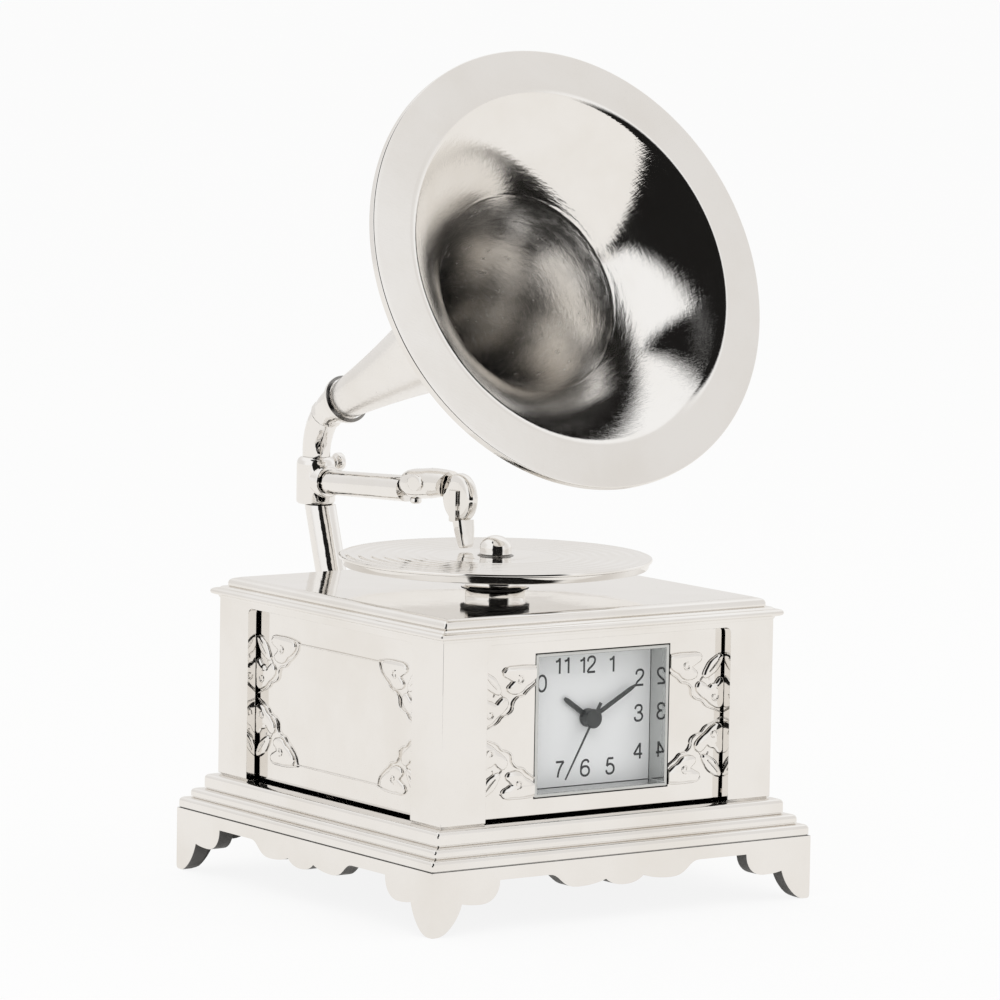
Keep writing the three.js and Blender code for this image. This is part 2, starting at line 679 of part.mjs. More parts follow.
// Rear bracket: a plate in the back recess, two screws and a bent post that leans back
function makeBracket() {
  const plateFace = FRAME_INSIDE + BRACKET_PLATE_THICKNESS;
  const end = BRACKET_PLATE_HEIGHT / 2;
  const straight = BRACKET_PLATE_WIDTH / 2 - end;
  const outline = new THREE.Shape();
  outline.absarc(straight, BRACKET_Z, end, -Math.PI / 2, Math.PI / 2);
  outline.absarc(-straight, BRACKET_Z, end, Math.PI / 2, Math.PI * 1.5);
  const clearance = SCREW_RADIUS + SCREW_CLEARANCE;
  const holes = bracketScrewPlaces().map((x) => (
    rodY(clearance, FRAME_INSIDE - CUT, plateFace + CUT, TINY, x, BRACKET_Z)
  ));
  add("bracket_plate", cut(alongY(outline, FRAME_INSIDE, plateFace), ...holes), PLATED);
  bracketScrewPlaces().forEach((x, index) => {
    const screw = add(`bracket_screw_${index + 1}`, screwZ(), STEEL);
    screw.position.set(x, plateFace, BRACKET_Z);
    screw.rotation.x = Math.PI / 2;
  });

  const lean = radians(BRACKET_LEAN);
  const bend = Math.PI / 2 - lean;
  const rise = TEE_BASE - BRACKET_Z - BRACKET_BEND_RADIUS * (1 - Math.cos(bend));
  const upperRun = rise / Math.cos(lean);
  const meetY = TEE_Y - TEE_POST_OFFSET;
  const lowerRun = meetY - plateFace - BRACKET_BEND_RADIUS * Math.sin(bend) - upperRun * Math.sin(lean);
  const start = new THREE.Vector3(0, plateFace, BRACKET_Z);
  const path = bentPath(start, 0, lowerRun, BRACKET_BEND_RADIUS, bend, upperRun + BRACKET_RADIUS);
  const bar = roundBar(path, () => BRACKET_RADIUS, 14, SMALL);
  const above = block(-TEE_RADIUS * 2, BODY_HALF, TEE_BASE, TEE_RADIUS * 2, TEE_Y * 2, TEE_TOP);
  add("bracket_post", cut(bar, above), PLATED);
}

// Tee: an upright barrel with a short stub for the tone arm, and a screw on its side
function makeTee() {
  const barrel = turned([
    [0, 0],
    [TEE_RADIUS - TEE_ROUNDING / 2, 0],
    [TEE_RADIUS, TEE_ROUNDING / 2],
    [TEE_RADIUS, TEE_HEIGHT - TEE_ROUNDING],
    [TEE_RADIUS - TEE_ROUNDING * 0.3, TEE_HEIGHT - TEE_ROUNDING * 0.3],
    [TEE_RADIUS - TEE_ROUNDING, TEE_HEIGHT],
    [0, TEE_HEIGHT],
  ], ROUND);
  const stub = rodY(TEE_STUB_RADIUS, -TEE_RADIUS - TEE_STUB_LENGTH, 0, SMALL, 0, ARM_ABOVE_TEE_FOOT);
  add("tee", join(barrel, stub), PLATED).position.set(0, TEE_Y, TEE_BASE);
  const screwStart = TEE_RADIUS + SCREW_CLEARANCE;
  const screw = rodX(TEE_SCREW_RADIUS, screwStart, screwStart + TEE_SCREW_LENGTH, SMALL, 0, 0);
  add("tee_screw", screw, PLATED).position.set(0, TEE_Y, TEE_TOP - TEE_SCREW_DROP);
}

// Elbow and ferrule share one bend, which ends on the horn's axis
function makeHornSide() {
  const tilt = radians(HORN_TILT);
  const bend = Math.PI / 2 - tilt;
  const foot = new THREE.Vector3(0, TEE_Y, TEE_TOP);
  const elbowPath = bentPath(foot, Math.PI / 2, ELBOW_RISE, ELBOW_BEND_RADIUS, bend * ELBOW_SHARE, 0);
  const growth = ELBOW_SEAM_RADIUS - ELBOW_RADIUS;
  add("elbow", roundBar(elbowPath, (share) => ELBOW_RADIUS + growth * share, 8, SMALL), PLATED);

  const seam = elbowPath.getPointAt(1);
  const seamAngle = Math.PI / 2 + bend * ELBOW_SHARE;
  const rest = bend * (1 - ELBOW_SHARE);
  const ferrulePath = bentPath(seam, seamAngle, 0, ELBOW_BEND_RADIUS, rest, FERRULE_RUN);
  const spread = FERRULE_RADIUS - ELBOW_SEAM_RADIUS;
  const ferruleStart = TURNED_GAP / ferrulePath.getLength();
  const ferrule = roundBar({
    getPointAt: (share) => ferrulePath.getPointAt(ferruleStart + share * (1 - ferruleStart)),
    getTangentAt: (share) => ferrulePath.getTangentAt(ferruleStart + share * (1 - ferruleStart)),
  }, (share) => ELBOW_SEAM_RADIUS + spread * share, 6, SMALL);
  add("ferrule", ferrule, PLATED);

  const mouthSide = new THREE.Group();
  mouthSide.position.copy(ferrulePath.getPointAt(1));
  mouthSide.rotation.x = Math.PI / 2 - tilt;
  clock.add(mouthSide);
  const throatOuter = HORN_THROAT_RADIUS + HORN_WALL;
  const collar = turned([
    [throatOuter + TURNED_GAP, TURNED_GAP],
    [COLLAR_RADIUS, TURNED_GAP],
    [COLLAR_RADIUS, TURNED_GAP + COLLAR_WIDTH],
    [throatOuter + TURNED_GAP, TURNED_GAP + COLLAR_WIDTH],
    [throatOuter + TURNED_GAP, TURNED_GAP],
  ], ROUND);
  add("horn_collar", collar, PLATED, mouthSide);
  add("horn", turned(hornProfile(), FINE), PLATED, mouthSide);
}

// Horn wall: a flare that opens faster towards its bowl, a nearly flat rim, and the same line one wall out
function hornProfile() {
  const stations = 11;
  const growth = Math.log(HORN_BOWL_RADIUS / HORN_THROAT_RADIUS) / HORN_LENGTH;
  const inside = [];
  const outside = [];
  for (let i = 0; i <= stations; i += 1) {
    const along = HORN_LENGTH * Math.sin((i / stations) * Math.PI / 2);
    const flare = HORN_THROAT_RADIUS * Math.exp(growth * along);
    const turn = Math.PI * (along / HORN_LENGTH) ** 3;
    const turnRate = (3 * turn) / Math.max(along, 0.001);
    const radius = flare - HORN_BELLY * Math.sin(turn);
    const slope = Math.atan(growth * flare - HORN_BELLY * Math.cos(turn) * turnRate);
    inside.push([radius, along]);
    outside.push([radius + HORN_WALL * Math.cos(slope), along - HORN_WALL * Math.sin(slope)]);
  }
  outside[0] = [HORN_THROAT_RADIUS + HORN_WALL, 0];
  const rimBack = HORN_LENGTH - HORN_RIM_SETBACK;
  const lift = TURNED_GAP;
  const wall = [
    ...outside.slice(0, -1),
    [HORN_BOWL_RADIUS, HORN_LENGTH - HORN_WALL],
    [HORN_RIM_RADIUS, rimBack - HORN_WALL],
    [HORN_RIM_RADIUS, rimBack],
    ...inside.reverse(),
  ];
  const closed = [...wall, wall[0]];
  return closed.map(([radius, along]) => [radius, along + lift]);
}

// Tone arm, the block at its end, sound box and needle chuck
function makeArm() {
  const blockBackY = BOX_BACK_Y + BLOCK_LENGTH;
  const tilt = radians(ARM_RISE);
  const armLength = (ARM_START_Y - blockBackY) / Math.cos(tilt);
  const arm = new THREE.Group();
  arm.position.set(0, ARM_START_Y, TEE_BASE + ARM_ABOVE_TEE_FOOT);
  arm.rotation.x = Math.PI / 2 - tilt;
  clock.add(arm);
  add("tone_arm", diskZ(ARM_RADIUS, 0, armLength, SMALL), PLATED, arm);

  const armEndZ = TEE_BASE + ARM_ABOVE_TEE_FOOT + (ARM_START_Y - blockBackY) * Math.tan(tilt);
  const blockZ = armEndZ + BLOCK_LIFT;
  const boxZ = armEndZ;
  const blockFront = BOX_BACK_Y - BLOCK_LENGTH * 0.12;
  const blockPath = new THREE.LineCurve3(
    new THREE.Vector3(0, blockBackY - TURNED_GAP, blockZ),
    new THREE.Vector3(0, blockFront, blockZ),
  );
  const swell = (share) => BLOCK_RADIUS * (0.82 + 0.18 * Math.sin(Math.PI * Math.min(1, share * 1.3)));
  const blockBody = roundBar(blockPath, swell, 6, SMALL);
  const boxY = BOX_FROM_SPINDLE;
  const boxRoom = rodX(BOX_RADIUS + TURNED_GAP, -BLOCK_RADIUS * 2, BLOCK_RADIUS * 2, ROUND, boxY, boxZ);
  add("arm_block", cut(blockBody, boxRoom), PLATED);
  const screwY = blockBackY - TURNED_GAP - BLOCK_SCREW_INSET;
  const screwTop = blockZ - BLOCK_RADIUS - SCREW_CLEARANCE;
  const blockScrew = diskZ(BLOCK_SCREW_RADIUS, -BLOCK_SCREW_LENGTH, 0, TINY);
  add("block_screw", blockScrew, PLATED).position.set(0, screwY, screwTop);

  const half = BOX_THICKNESS / 2;
  const box = turned([
    [0, -half],
    [BOX_RADIUS - BOX_BEAD, -half],
    [BOX_RADIUS, -half + BOX_BEAD],
    [BOX_RADIUS, half - BOX_BEAD],
    [BOX_RADIUS - BOX_BEAD, half],
    [0, half],
  ], ROUND).rotateY(Math.PI / 2);
  add("sound_box", box, PLATED).position.set(0, boxY, boxZ);

  const barFace = -half - SCREW_CLEARANCE;
  const boxFoot = boxZ - BOX_RADIUS;
  const barHalf = NEEDLE_BAR_WIDTH / 2;
  const needleBar = block(
    barFace - NEEDLE_BAR_THICKNESS, boxY - barHalf, boxFoot + SCREW_CLEARANCE,
    barFace, boxY + barHalf, boxZ + NEEDLE_BAR_RISE,
  );
  add("needle_bar", needleBar, PLATED);

  const tip = RECORD_TOP + NEEDLE_GAP;
  const chuckTop = boxFoot - TURNED_GAP;
  const round = CHUCK_TIP_RADIUS * 0.6;
  const chuck = turned([
    [0, 0],
    [CHUCK_TIP_RADIUS * 0.55, 0],
    [CHUCK_TIP_RADIUS, round],
    [CHUCK_TOP_RADIUS, chuckTop - tip - round / 2],
    [CHUCK_TOP_RADIUS * 0.85, chuckTop - tip],
    [0, chuckTop - tip],
  ], SMALL);
  const needle = add("needle_chuck", chuck, PLATED);
  needle.position.set(0, boxY - CHUCK_FORWARD, tip);
  needle.rotation.x = -radians(CHUCK_LEAN);
}

// Everything of the clock insert is placed from the bezel's front face, which lies at depth 0
const insert = new THREE.Group();
insert.position.set(0, CLOCK_Y, CLOCK_Z);
clock.add(insert);

const BEZEL_IN_X = BEZEL_WIDTH / 2 - BEZEL_WALL;
const BEZEL_IN_Z = BEZEL_HEIGHT / 2 - BEZEL_WALL;
const FIT_X = BEZEL_IN_X - INSERT_FIT;
const FIT_Z = BEZEL_IN_Z - INSERT_FIT;
const DIAL_BACK = DIAL_DEPTH + DIAL_THICKNESS;
const HOUR_HAND_DEPTH = DIAL_DEPTH - HAND_SPACING;
const MINUTE_HAND_DEPTH = HOUR_HAND_DEPTH - HAND_SPACING;
const SECOND_HAND_DEPTH = MINUTE_HAND_DEPTH - HAND_SPACING;
const HOUR_WHEEL_DEPTH = DIAL_BACK + LAYER_GAP;
const MINUTE_WHEEL_DEPTH = HOUR_WHEEL_DEPTH + WHEEL_THICKNESS + 2 * PINION_OVERHANG + LAYER_GAP;
const MAIN_PLATE_DEPTH = MINUTE_WHEEL_DEPTH + WHEEL_THICKNESS + PINION_OVERHANG + LAYER_GAP;
const MAIN_PLATE_BACK = MAIN_PLATE_DEPTH + PLATE_THICKNESS;
const CENTRE_WHEEL_DEPTH = MAIN_PLATE_BACK + LAYER_GAP;
const WHEEL_STEP = WHEEL_THICKNESS + 2 * PINION_OVERHANG + LAYER_GAP;
const THIRD_WHEEL_DEPTH = CENTRE_WHEEL_DEPTH + WHEEL_STEP;
const SECONDS_WHEEL_DEPTH = THIRD_WHEEL_DEPTH + WHEEL_STEP;
const FIFTH_WHEEL_DEPTH = SECONDS_WHEEL_DEPTH + WHEEL_STEP;
const BRIDGE_DEPTH = BEZEL_DEPTH - PLATE_THICKNESS - LAYER_GAP;
const BRIDGE_BACK = BRIDGE_DEPTH + PLATE_THICKNESS;

// Axes of the train, from the tooth counts
function polar(distance, degrees, from = [0, 0]) {
  const angle = radians(degrees);
  return [from[0] + distance * Math.cos(angle), from[1] + distance * Math.sin(angle)];
}

const MOTION_DISTANCE = MOTION_MODULE * (CANNON_TEETH + MINUTE_WHEEL_TEETH) / 2;
const HOUR_MODULE = 2 * MOTION_DISTANCE / (HOUR_WHEEL_TEETH + MINUTE_PINION_TEETH);
const KNOB_DISTANCE = MOTION_MODULE * (KNOB_TEETH + MINUTE_WHEEL_TEETH) / 2;
const THIRD_DISTANCE = THIRD_MODULE * (THIRD_TEETH + SECONDS_PINION_TEETH) / 2;
const CENTRE_MODULE = 2 * THIRD_DISTANCE / (CENTRE_TEETH + THIRD_PINION_TEETH);
const FIFTH_DISTANCE = FIFTH_MODULE * (SECONDS_TEETH + FIFTH_PINION_TEETH) / 2;
const ROTOR_DISTANCE = ROTOR_MODULE * (FIFTH_TEETH + ROTOR_PINION_TEETH) / 2;
const CENTRE_AXIS = [0, 0];
const MOTION_AXIS = polar(MOTION_DISTANCE, 0);
const KNOB_AXIS = polar(KNOB_DISTANCE, KNOB_DIRECTION, MOTION_AXIS);
const THIRD_AXIS = polar(THIRD_DISTANCE, THIRD_DIRECTION);
const FIFTH_AXIS = polar(FIFTH_DISTANCE, FIFTH_DIRECTION);
const ROTOR_AXIS = polar(ROTOR_DISTANCE, ROTOR_DIRECTION, FIFTH_AXIS);

// The angle of one tooth of a wheel, so that it meets the gaps of the wheel that it is in mesh with
function phaseInMesh(otherPhase, otherTeeth, direction, teeth) {
  return direction + Math.PI - (otherPhase - direction) * otherTeeth / teeth + Math.PI / teeth;
}

function gear(teeth, module, phase, depth, thickness, axis) {
  const pitch = teeth * module / 2;
  const outline = [];
  for (let i = 0; i < teeth; i += 1) {
    const tip = phase + i * 2 * Math.PI / teeth;
    const root = tip + Math.PI / teeth;
    outline.push(new THREE.Vector2(Math.cos(tip), Math.sin(tip)).multiplyScalar(pitch + 0.8 * module));
    outline.push(new THREE.Vector2(Math.cos(root), Math.sin(root)).multiplyScalar(pitch - module));
  }
  return alongY(new THREE.Shape(outline), depth, depth + thickness).translate(axis[0], 0, axis[1]);
}

function pinion(teeth, module, phase, wheelDepth, axis) {
  const thickness = WHEEL_THICKNESS + 2 * PINION_OVERHANG;
  return gear(teeth, module, phase, wheelDepth - PINION_OVERHANG, thickness, axis);
}

function arbor(radius, from, to, axis, segments = TINY) {
  return rodY(radius, from, to, segments, axis[0], axis[1]);
}

const PIVOT_START = MAIN_PLATE_DEPTH + ARBOR_CLEARANCE;
const PIVOT_END = BRIDGE_BACK - ARBOR_CLEARANCE;

function makeInsertShell() {
  const outer = block(-BEZEL_WIDTH / 2, 0, -BEZEL_HEIGHT / 2, BEZEL_WIDTH / 2, BEZEL_DEPTH, BEZEL_HEIGHT / 2);
  const inner = block(-BEZEL_IN_X, -CUT, -BEZEL_IN_Z, BEZEL_IN_X, BEZEL_DEPTH + CUT, BEZEL_IN_Z);
  add("bezel", cut(outer, inner), PLATED, insert);
  const glassBack = CRYSTAL_SETBACK + CRYSTAL_THICKNESS;
  add("crystal", block(-FIT_X, CRYSTAL_SETBACK, -FIT_Z, FIT_X, glassBack, FIT_Z), GLASS, insert);
  const dial = cut(
    block(-FIT_X, DIAL_DEPTH, -FIT_Z, FIT_X, DIAL_BACK, FIT_Z),
    arbor(HOUR_ARBOR + ARBOR_CLEARANCE, DIAL_DEPTH - CUT, DIAL_BACK + CUT, CENTRE_AXIS, SMALL),
  );
  add("dial", dial, DIAL_WHITE, insert);

  const gap = PANEL_HOLE_CLEARANCE;
  const sleeveX = BEZEL_WIDTH / 2 + gap;
  const sleeveZ = BEZEL_HEIGHT / 2 + gap;
  const front = -PANEL_INSIDE - CLOCK_Y;
  const sleeve = cut(
    block(
      -sleeveX - SLEEVE_WALL, front, -sleeveZ - SLEEVE_WALL,
      sleeveX + SLEEVE_WALL, front + SLEEVE_DEPTH, sleeveZ + SLEEVE_WALL,
    ),
    block(-sleeveX, front - CUT, -sleeveZ, sleeveX, front + SLEEVE_DEPTH + CUT, sleeveZ),
  );
  add("insert_sleeve", sleeve, BLACK_PLASTIC, insert);
}

// A straight hand about the centre, with a bored hub
function handOutline(length, width, tail, hub) {
  const half = width / 2;
  const shape = new THREE.Shape();
  const sweep = Math.asin(Math.min(0.9, half / hub));
  shape.moveTo(half, hub * Math.cos(sweep));
  shape.lineTo(half * 0.7, length);
  shape.lineTo(-half * 0.7, length);
  shape.lineTo(-half, hub * Math.cos(sweep));
  if (tail > 0) {
    shape.absarc(0, 0, hub, Math.PI / 2 + sweep, Math.PI * 1.5 - sweep);
    shape.lineTo(-half, -tail);
    shape.lineTo(half, -tail);
    shape.absarc(0, 0, hub, -Math.PI / 2 + sweep, Math.PI / 2 - sweep);
  } else {
    shape.absarc(0, 0, hub, Math.PI / 2 + sweep, Math.PI * 2.5 - sweep);
  }
  return shape;
}

function makeHands() {
  const hourHub = HOUR_ARBOR + ARBOR_CLEARANCE + LAYER_GAP;
  const hourBore = arbor(HOUR_ARBOR + ARBOR_CLEARANCE / 2, 0, BEZEL_DEPTH, CENTRE_AXIS, SMALL);
  const hourShape = handOutline(HOUR_HAND_LENGTH, HOUR_HAND_WIDTH, 0, hourHub);
  const hour = cut(alongY(hourShape, HOUR_HAND_DEPTH, HOUR_HAND_DEPTH + HAND_THICKNESS), hourBore);
  add("hour_hand", hour, DARK_HAND, insert).rotation.y = radians(HOUR_HAND_ANGLE);

  const minuteHub = CANNON_ARBOR + ARBOR_CLEARANCE + LAYER_GAP;
  const minuteBore = arbor(CANNON_ARBOR + ARBOR_CLEARANCE / 2, 0, BEZEL_DEPTH, CENTRE_AXIS, SMALL);
  const minuteShape = handOutline(MINUTE_HAND_LENGTH, MINUTE_HAND_WIDTH, 0, minuteHub);
  const minute = cut(alongY(minuteShape, MINUTE_HAND_DEPTH, MINUTE_HAND_DEPTH + HAND_THICKNESS), minuteBore);
  add("minute_hand", minute, DARK_HAND, insert).rotation.y = radians(MINUTE_HAND_ANGLE);

  const hub = HAND_CAP_RADIUS * 0.6;
  const needle = handOutline(SECOND_HAND_LENGTH, SECOND_HAND_WIDTH, SECOND_HAND_TAIL, hub);
  const cap = rodY(HAND_CAP_RADIUS, SECOND_HAND_DEPTH - HAND_THICKNESS / 2, SECOND_HAND_DEPTH + HAND_THICKNESS, SMALL);
  const bore = arbor(SECONDS_ARBOR + ARBOR_CLEARANCE / 2, SECOND_HAND_DEPTH, BEZEL_DEPTH, CENTRE_AXIS);
  const arm = alongY(needle, SECOND_HAND_DEPTH, SECOND_HAND_DEPTH + HAND_THICKNESS * 0.8);
  const second = cut(join(cap, arm), bore);
  add("second_hand", second, DARK_HAND, insert).rotation.y = radians(SECOND_HAND_ANGLE);
}

// Motion work: the cannon pinion turns the minute wheel, whose pinion turns the hour wheel
function makeMotionWork() {
  const cannonPhase = 0;
  const minuteWheelPhase = phaseInMesh(cannonPhase, CANNON_TEETH, 0, MINUTE_WHEEL_TEETH);
  const hourPhase = 0;
  const minutePinionPhase = phaseInMesh(hourPhase, HOUR_WHEEL_TEETH, 0, MINUTE_PINION_TEETH);
  const knobPhase = phaseInMesh(minuteWheelPhase, MINUTE_WHEEL_TEETH, radians(KNOB_DIRECTION), KNOB_TEETH);
  const cannon = cut(
    join(
      pinion(CANNON_TEETH, MOTION_MODULE, cannonPhase, MINUTE_WHEEL_DEPTH, CENTRE_AXIS),
      arbor(CANNON_ARBOR, MINUTE_HAND_DEPTH, MINUTE_WHEEL_DEPTH, CENTRE_AXIS, SMALL),
    ),
    arbor(CENTRE_ARBOR + ARBOR_CLEARANCE, 0, BEZEL_DEPTH, CENTRE_AXIS, SMALL),
  );
  add("cannon_pinion", cannon, BRASS, insert);

  const hourWheel = cut(
    join(
      gear(HOUR_WHEEL_TEETH, HOUR_MODULE, hourPhase, HOUR_WHEEL_DEPTH, WHEEL_THICKNESS, CENTRE_AXIS),
      arbor(HOUR_ARBOR, HOUR_HAND_DEPTH, HOUR_WHEEL_DEPTH + WHEEL_THICKNESS, CENTRE_AXIS, SMALL),
    ),
    arbor(CANNON_ARBOR + ARBOR_CLEARANCE, 0, BEZEL_DEPTH, CENTRE_AXIS, SMALL),
  );
  add("hour_wheel", hourWheel, BRASS, insert);

  const minuteWheel = join(
    gear(MINUTE_WHEEL_TEETH, MOTION_MODULE, minuteWheelPhase, MINUTE_WHEEL_DEPTH, WHEEL_THICKNESS, MOTION_AXIS),
    pinion(MINUTE_PINION_TEETH, HOUR_MODULE, minutePinionPhase, HOUR_WHEEL_DEPTH, MOTION_AXIS),
    arbor(TRAIN_ARBOR, HOUR_WHEEL_DEPTH, MAIN_PLATE_BACK - ARBOR_CLEARANCE, MOTION_AXIS),
  );
  add("minute_wheel", minuteWheel, WHITE_PLASTIC, insert);

  const knobBase = BEZEL_DEPTH + LAYER_GAP;
  const knob = join(
    pinion(KNOB_TEETH, MOTION_MODULE, knobPhase, MINUTE_WHEEL_DEPTH, KNOB_AXIS),
    arbor(KNOB_ARBOR, MINUTE_WHEEL_DEPTH, knobBase + KNOB_HEIGHT / 2, KNOB_AXIS),
    arbor(KNOB_RADIUS, knobBase, knobBase + KNOB_HEIGHT, KNOB_AXIS, SMALL),
  );
  add("setting_knob", knob, WHITE_PLASTIC, insert);
}

// Running train, from the slow centre wheel back to the stepping rotor
function makeTrain() {
  const third = radians(THIRD_DIRECTION);
  const fifth = radians(FIFTH_DIRECTION);
  const rotorWay = radians(ROTOR_DIRECTION);
  const thirdPinionPhase = phaseInMesh(0, CENTRE_TEETH, third, THIRD_PINION_TEETH);
  const thirdPhase = phaseInMesh(0, SECONDS_PINION_TEETH, third, THIRD_TEETH);
  const fifthPinionPhase = phaseInMesh(0, SECONDS_TEETH, fifth, FIFTH_PINION_TEETH);
  const rotorPhase = phaseInMesh(0, FIFTH_TEETH, rotorWay, ROTOR_PINION_TEETH);
  const centre = cut(
    join(
      gear(CENTRE_TEETH, CENTRE_MODULE, 0, CENTRE_WHEEL_DEPTH, WHEEL_THICKNESS, CENTRE_AXIS),
      arbor(CENTRE_ARBOR, MINUTE_HAND_DEPTH + HAND_THICKNESS, CENTRE_WHEEL_DEPTH, CENTRE_AXIS, SMALL),
    ),
    arbor(SECONDS_ARBOR + ARBOR_CLEARANCE, 0, BEZEL_DEPTH, CENTRE_AXIS),
  );
  add("centre_wheel", centre, BRASS, insert);

  const thirdWheel = join(
    gear(THIRD_TEETH, THIRD_MODULE, thirdPhase, THIRD_WHEEL_DEPTH, WHEEL_THICKNESS, THIRD_AXIS),
    pinion(THIRD_PINION_TEETH, CENTRE_MODULE, thirdPinionPhase, CENTRE_WHEEL_DEPTH, THIRD_AXIS),
    arbor(TRAIN_ARBOR, PIVOT_START, PIVOT_END, THIRD_AXIS),
  );
  add("third_wheel", thirdWheel, BRASS, insert);

  const seconds = join(
    gear(SECONDS_TEETH, FIFTH_MODULE, 0, SECONDS_WHEEL_DEPTH, WHEEL_THICKNESS, CENTRE_AXIS),
    pinion(SECONDS_PINION_TEETH, THIRD_MODULE, 0, THIRD_WHEEL_DEPTH, CENTRE_AXIS),
    arbor(SECONDS_ARBOR, SECOND_HAND_DEPTH + HAND_THICKNESS / 2, PIVOT_END, CENTRE_AXIS),
  );
  add("seconds_wheel", seconds, BRASS, insert);

  const fifthWheel = join(
    gear(FIFTH_TEETH, ROTOR_MODULE, 0, FIFTH_WHEEL_DEPTH, WHEEL_THICKNESS, FIFTH_AXIS),
    pinion(FIFTH_PINION_TEETH, FIFTH_MODULE, fifthPinionPhase, SECONDS_WHEEL_DEPTH, FIFTH_AXIS),
    arbor(TRAIN_ARBOR, PIVOT_START, PIVOT_END, FIFTH_AXIS),
  );
  add("fifth_wheel", fifthWheel, WHITE_PLASTIC, insert);

  const magnetBack = SECONDS_WHEEL_DEPTH;
  const rotor = join(
    pinion(ROTOR_PINION_TEETH, ROTOR_MODULE, rotorPhase, FIFTH_WHEEL_DEPTH, ROTOR_AXIS),
    arbor(ROTOR_MAGNET_RADIUS, magnetBack - ROTOR_MAGNET_HEIGHT, magnetBack, ROTOR_AXIS, SMALL),
    arbor(TRAIN_ARBOR, PIVOT_START, PIVOT_END, ROTOR_AXIS),
  );
  add("rotor", rotor, STEEL, insert);
}

// Plates that carry the arbors, and the motor and cell between them
function makeMovement() {
  const hole = TRAIN_ARBOR + ARBOR_CLEARANCE;
  const bores = (list, from, to) => list.map(([axis, radius]) => arbor(radius, from - CUT, to + CUT, axis));
  const shared = [[THIRD_AXIS, hole], [FIFTH_AXIS, hole], [ROTOR_AXIS, hole], [KNOB_AXIS, KNOB_ARBOR + ARBOR_CLEARANCE]];
  const mainBores = [...shared, [CENTRE_AXIS, CENTRE_ARBOR + ARBOR_CLEARANCE], [MOTION_AXIS, hole]];
  const bridgeBores = [...shared, [CENTRE_AXIS, SECONDS_ARBOR + ARBOR_CLEARANCE]];
  const main = cut(
    block(-FIT_X, MAIN_PLATE_DEPTH, -FIT_Z, FIT_X, MAIN_PLATE_BACK, FIT_Z),
    ...bores(mainBores, MAIN_PLATE_DEPTH, MAIN_PLATE_BACK),
  );
  add("main_plate", main, BLACK_PLASTIC, insert);
  const bridge = cut(
    block(-FIT_X, BRIDGE_DEPTH, -FIT_Z, FIT_X, BRIDGE_BACK, FIT_Z),
    ...bores(bridgeBores, BRIDGE_DEPTH, BRIDGE_BACK),
  );
  add("rear_bridge", bridge, BLACK_PLASTIC, insert);

  const [rotorX, rotorZ] = ROTOR_AXIS;
  const statorBack = SECONDS_WHEEL_DEPTH - LAYER_GAP;
  const statorFront = statorBack - STATOR_THICKNESS;
  const poleHole = ROTOR_MAGNET_RADIUS + STATOR_GAP;
  const left = rotorX - poleHole - STATOR_LIMB * 0.7;
  const coilStart = left + STATOR_LIMB + ARBOR_CLEARANCE;
  const coilEnd = coilStart + COIL_LENGTH;
  const right = coilEnd + ARBOR_CLEARANCE + STATOR_LIMB;
  const coilZ = -FIT_Z + COIL_RADIUS + LAYER_GAP;
  const windowTop = coilZ + COIL_RADIUS + LAYER_GAP;
  const stator = cut(
    block(left, statorFront, coilZ - COIL_RADIUS / 2, right, statorBack, rotorZ + poleHole + STATOR_LIMB * 0.3),
    block(
      left + STATOR_LIMB, statorFront - CUT, coilZ - COIL_RADIUS * 2,
      right - STATOR_LIMB, statorBack + CUT, windowTop,
    ),
    arbor(poleHole, statorFront - CUT, statorBack + CUT, ROTOR_AXIS, SMALL),
  );
  add("stator", stator, STEEL, insert);
  const coilDepth = (statorFront + statorBack) / 2;
  add("coil", rodX(COIL_RADIUS, coilStart, coilEnd, SMALL, coilDepth, coilZ), COPPER, insert);

  const batteryX = -FIT_X + BATTERY_RADIUS + LAYER_GAP;
  const batteryZ = -FIT_Z + BATTERY_RADIUS + LAYER_GAP;
  const batteryFront = MAIN_PLATE_BACK + ARBOR_CLEARANCE;
  const battery = arbor(BATTERY_RADIUS, batteryFront, batteryFront + BATTERY_THICKNESS, [batteryX, batteryZ], ROUND);
  add("battery", battery, STEEL, insert);

  const boardRight = -(THIRD_TEETH * THIRD_MODULE / 2 + THIRD_MODULE + LAYER_GAP);
  const boardFront = MAIN_PLATE_BACK + ARBOR_CLEARANCE;
  const boardBase = batteryZ + BATTERY_RADIUS + LAYER_GAP;
  const board = block(
    -FIT_X + LAYER_GAP, boardFront, boardBase,
    boardRight, boardFront + BOARD_THICKNESS, FIT_Z - LAYER_GAP,
  );
  add("circuit_board", board, BOARD_GREEN, insert);
}

makeSkirt();
makeBase();
makeFrame();
makePanels();
makeTop();
makeTurntable();
makeBracket();
makeTee();
makeHornSide();
makeArm();
makeInsertShell();
makeHands();
makeMotionWork();
makeTrain();
makeMovement();

// The origin lies under the middle of the whole object, between the skirt's front and the tee's back
clock.position.y = (SKIRT_HALF - TEE_Y - TEE_RADIUS) / 2;

const gramophoneClock = new THREE.Group();
gramophoneClock.add(clock);

export default gramophoneClock;
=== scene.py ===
"""A miniature gramophone clock in polished plate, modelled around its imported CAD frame."""

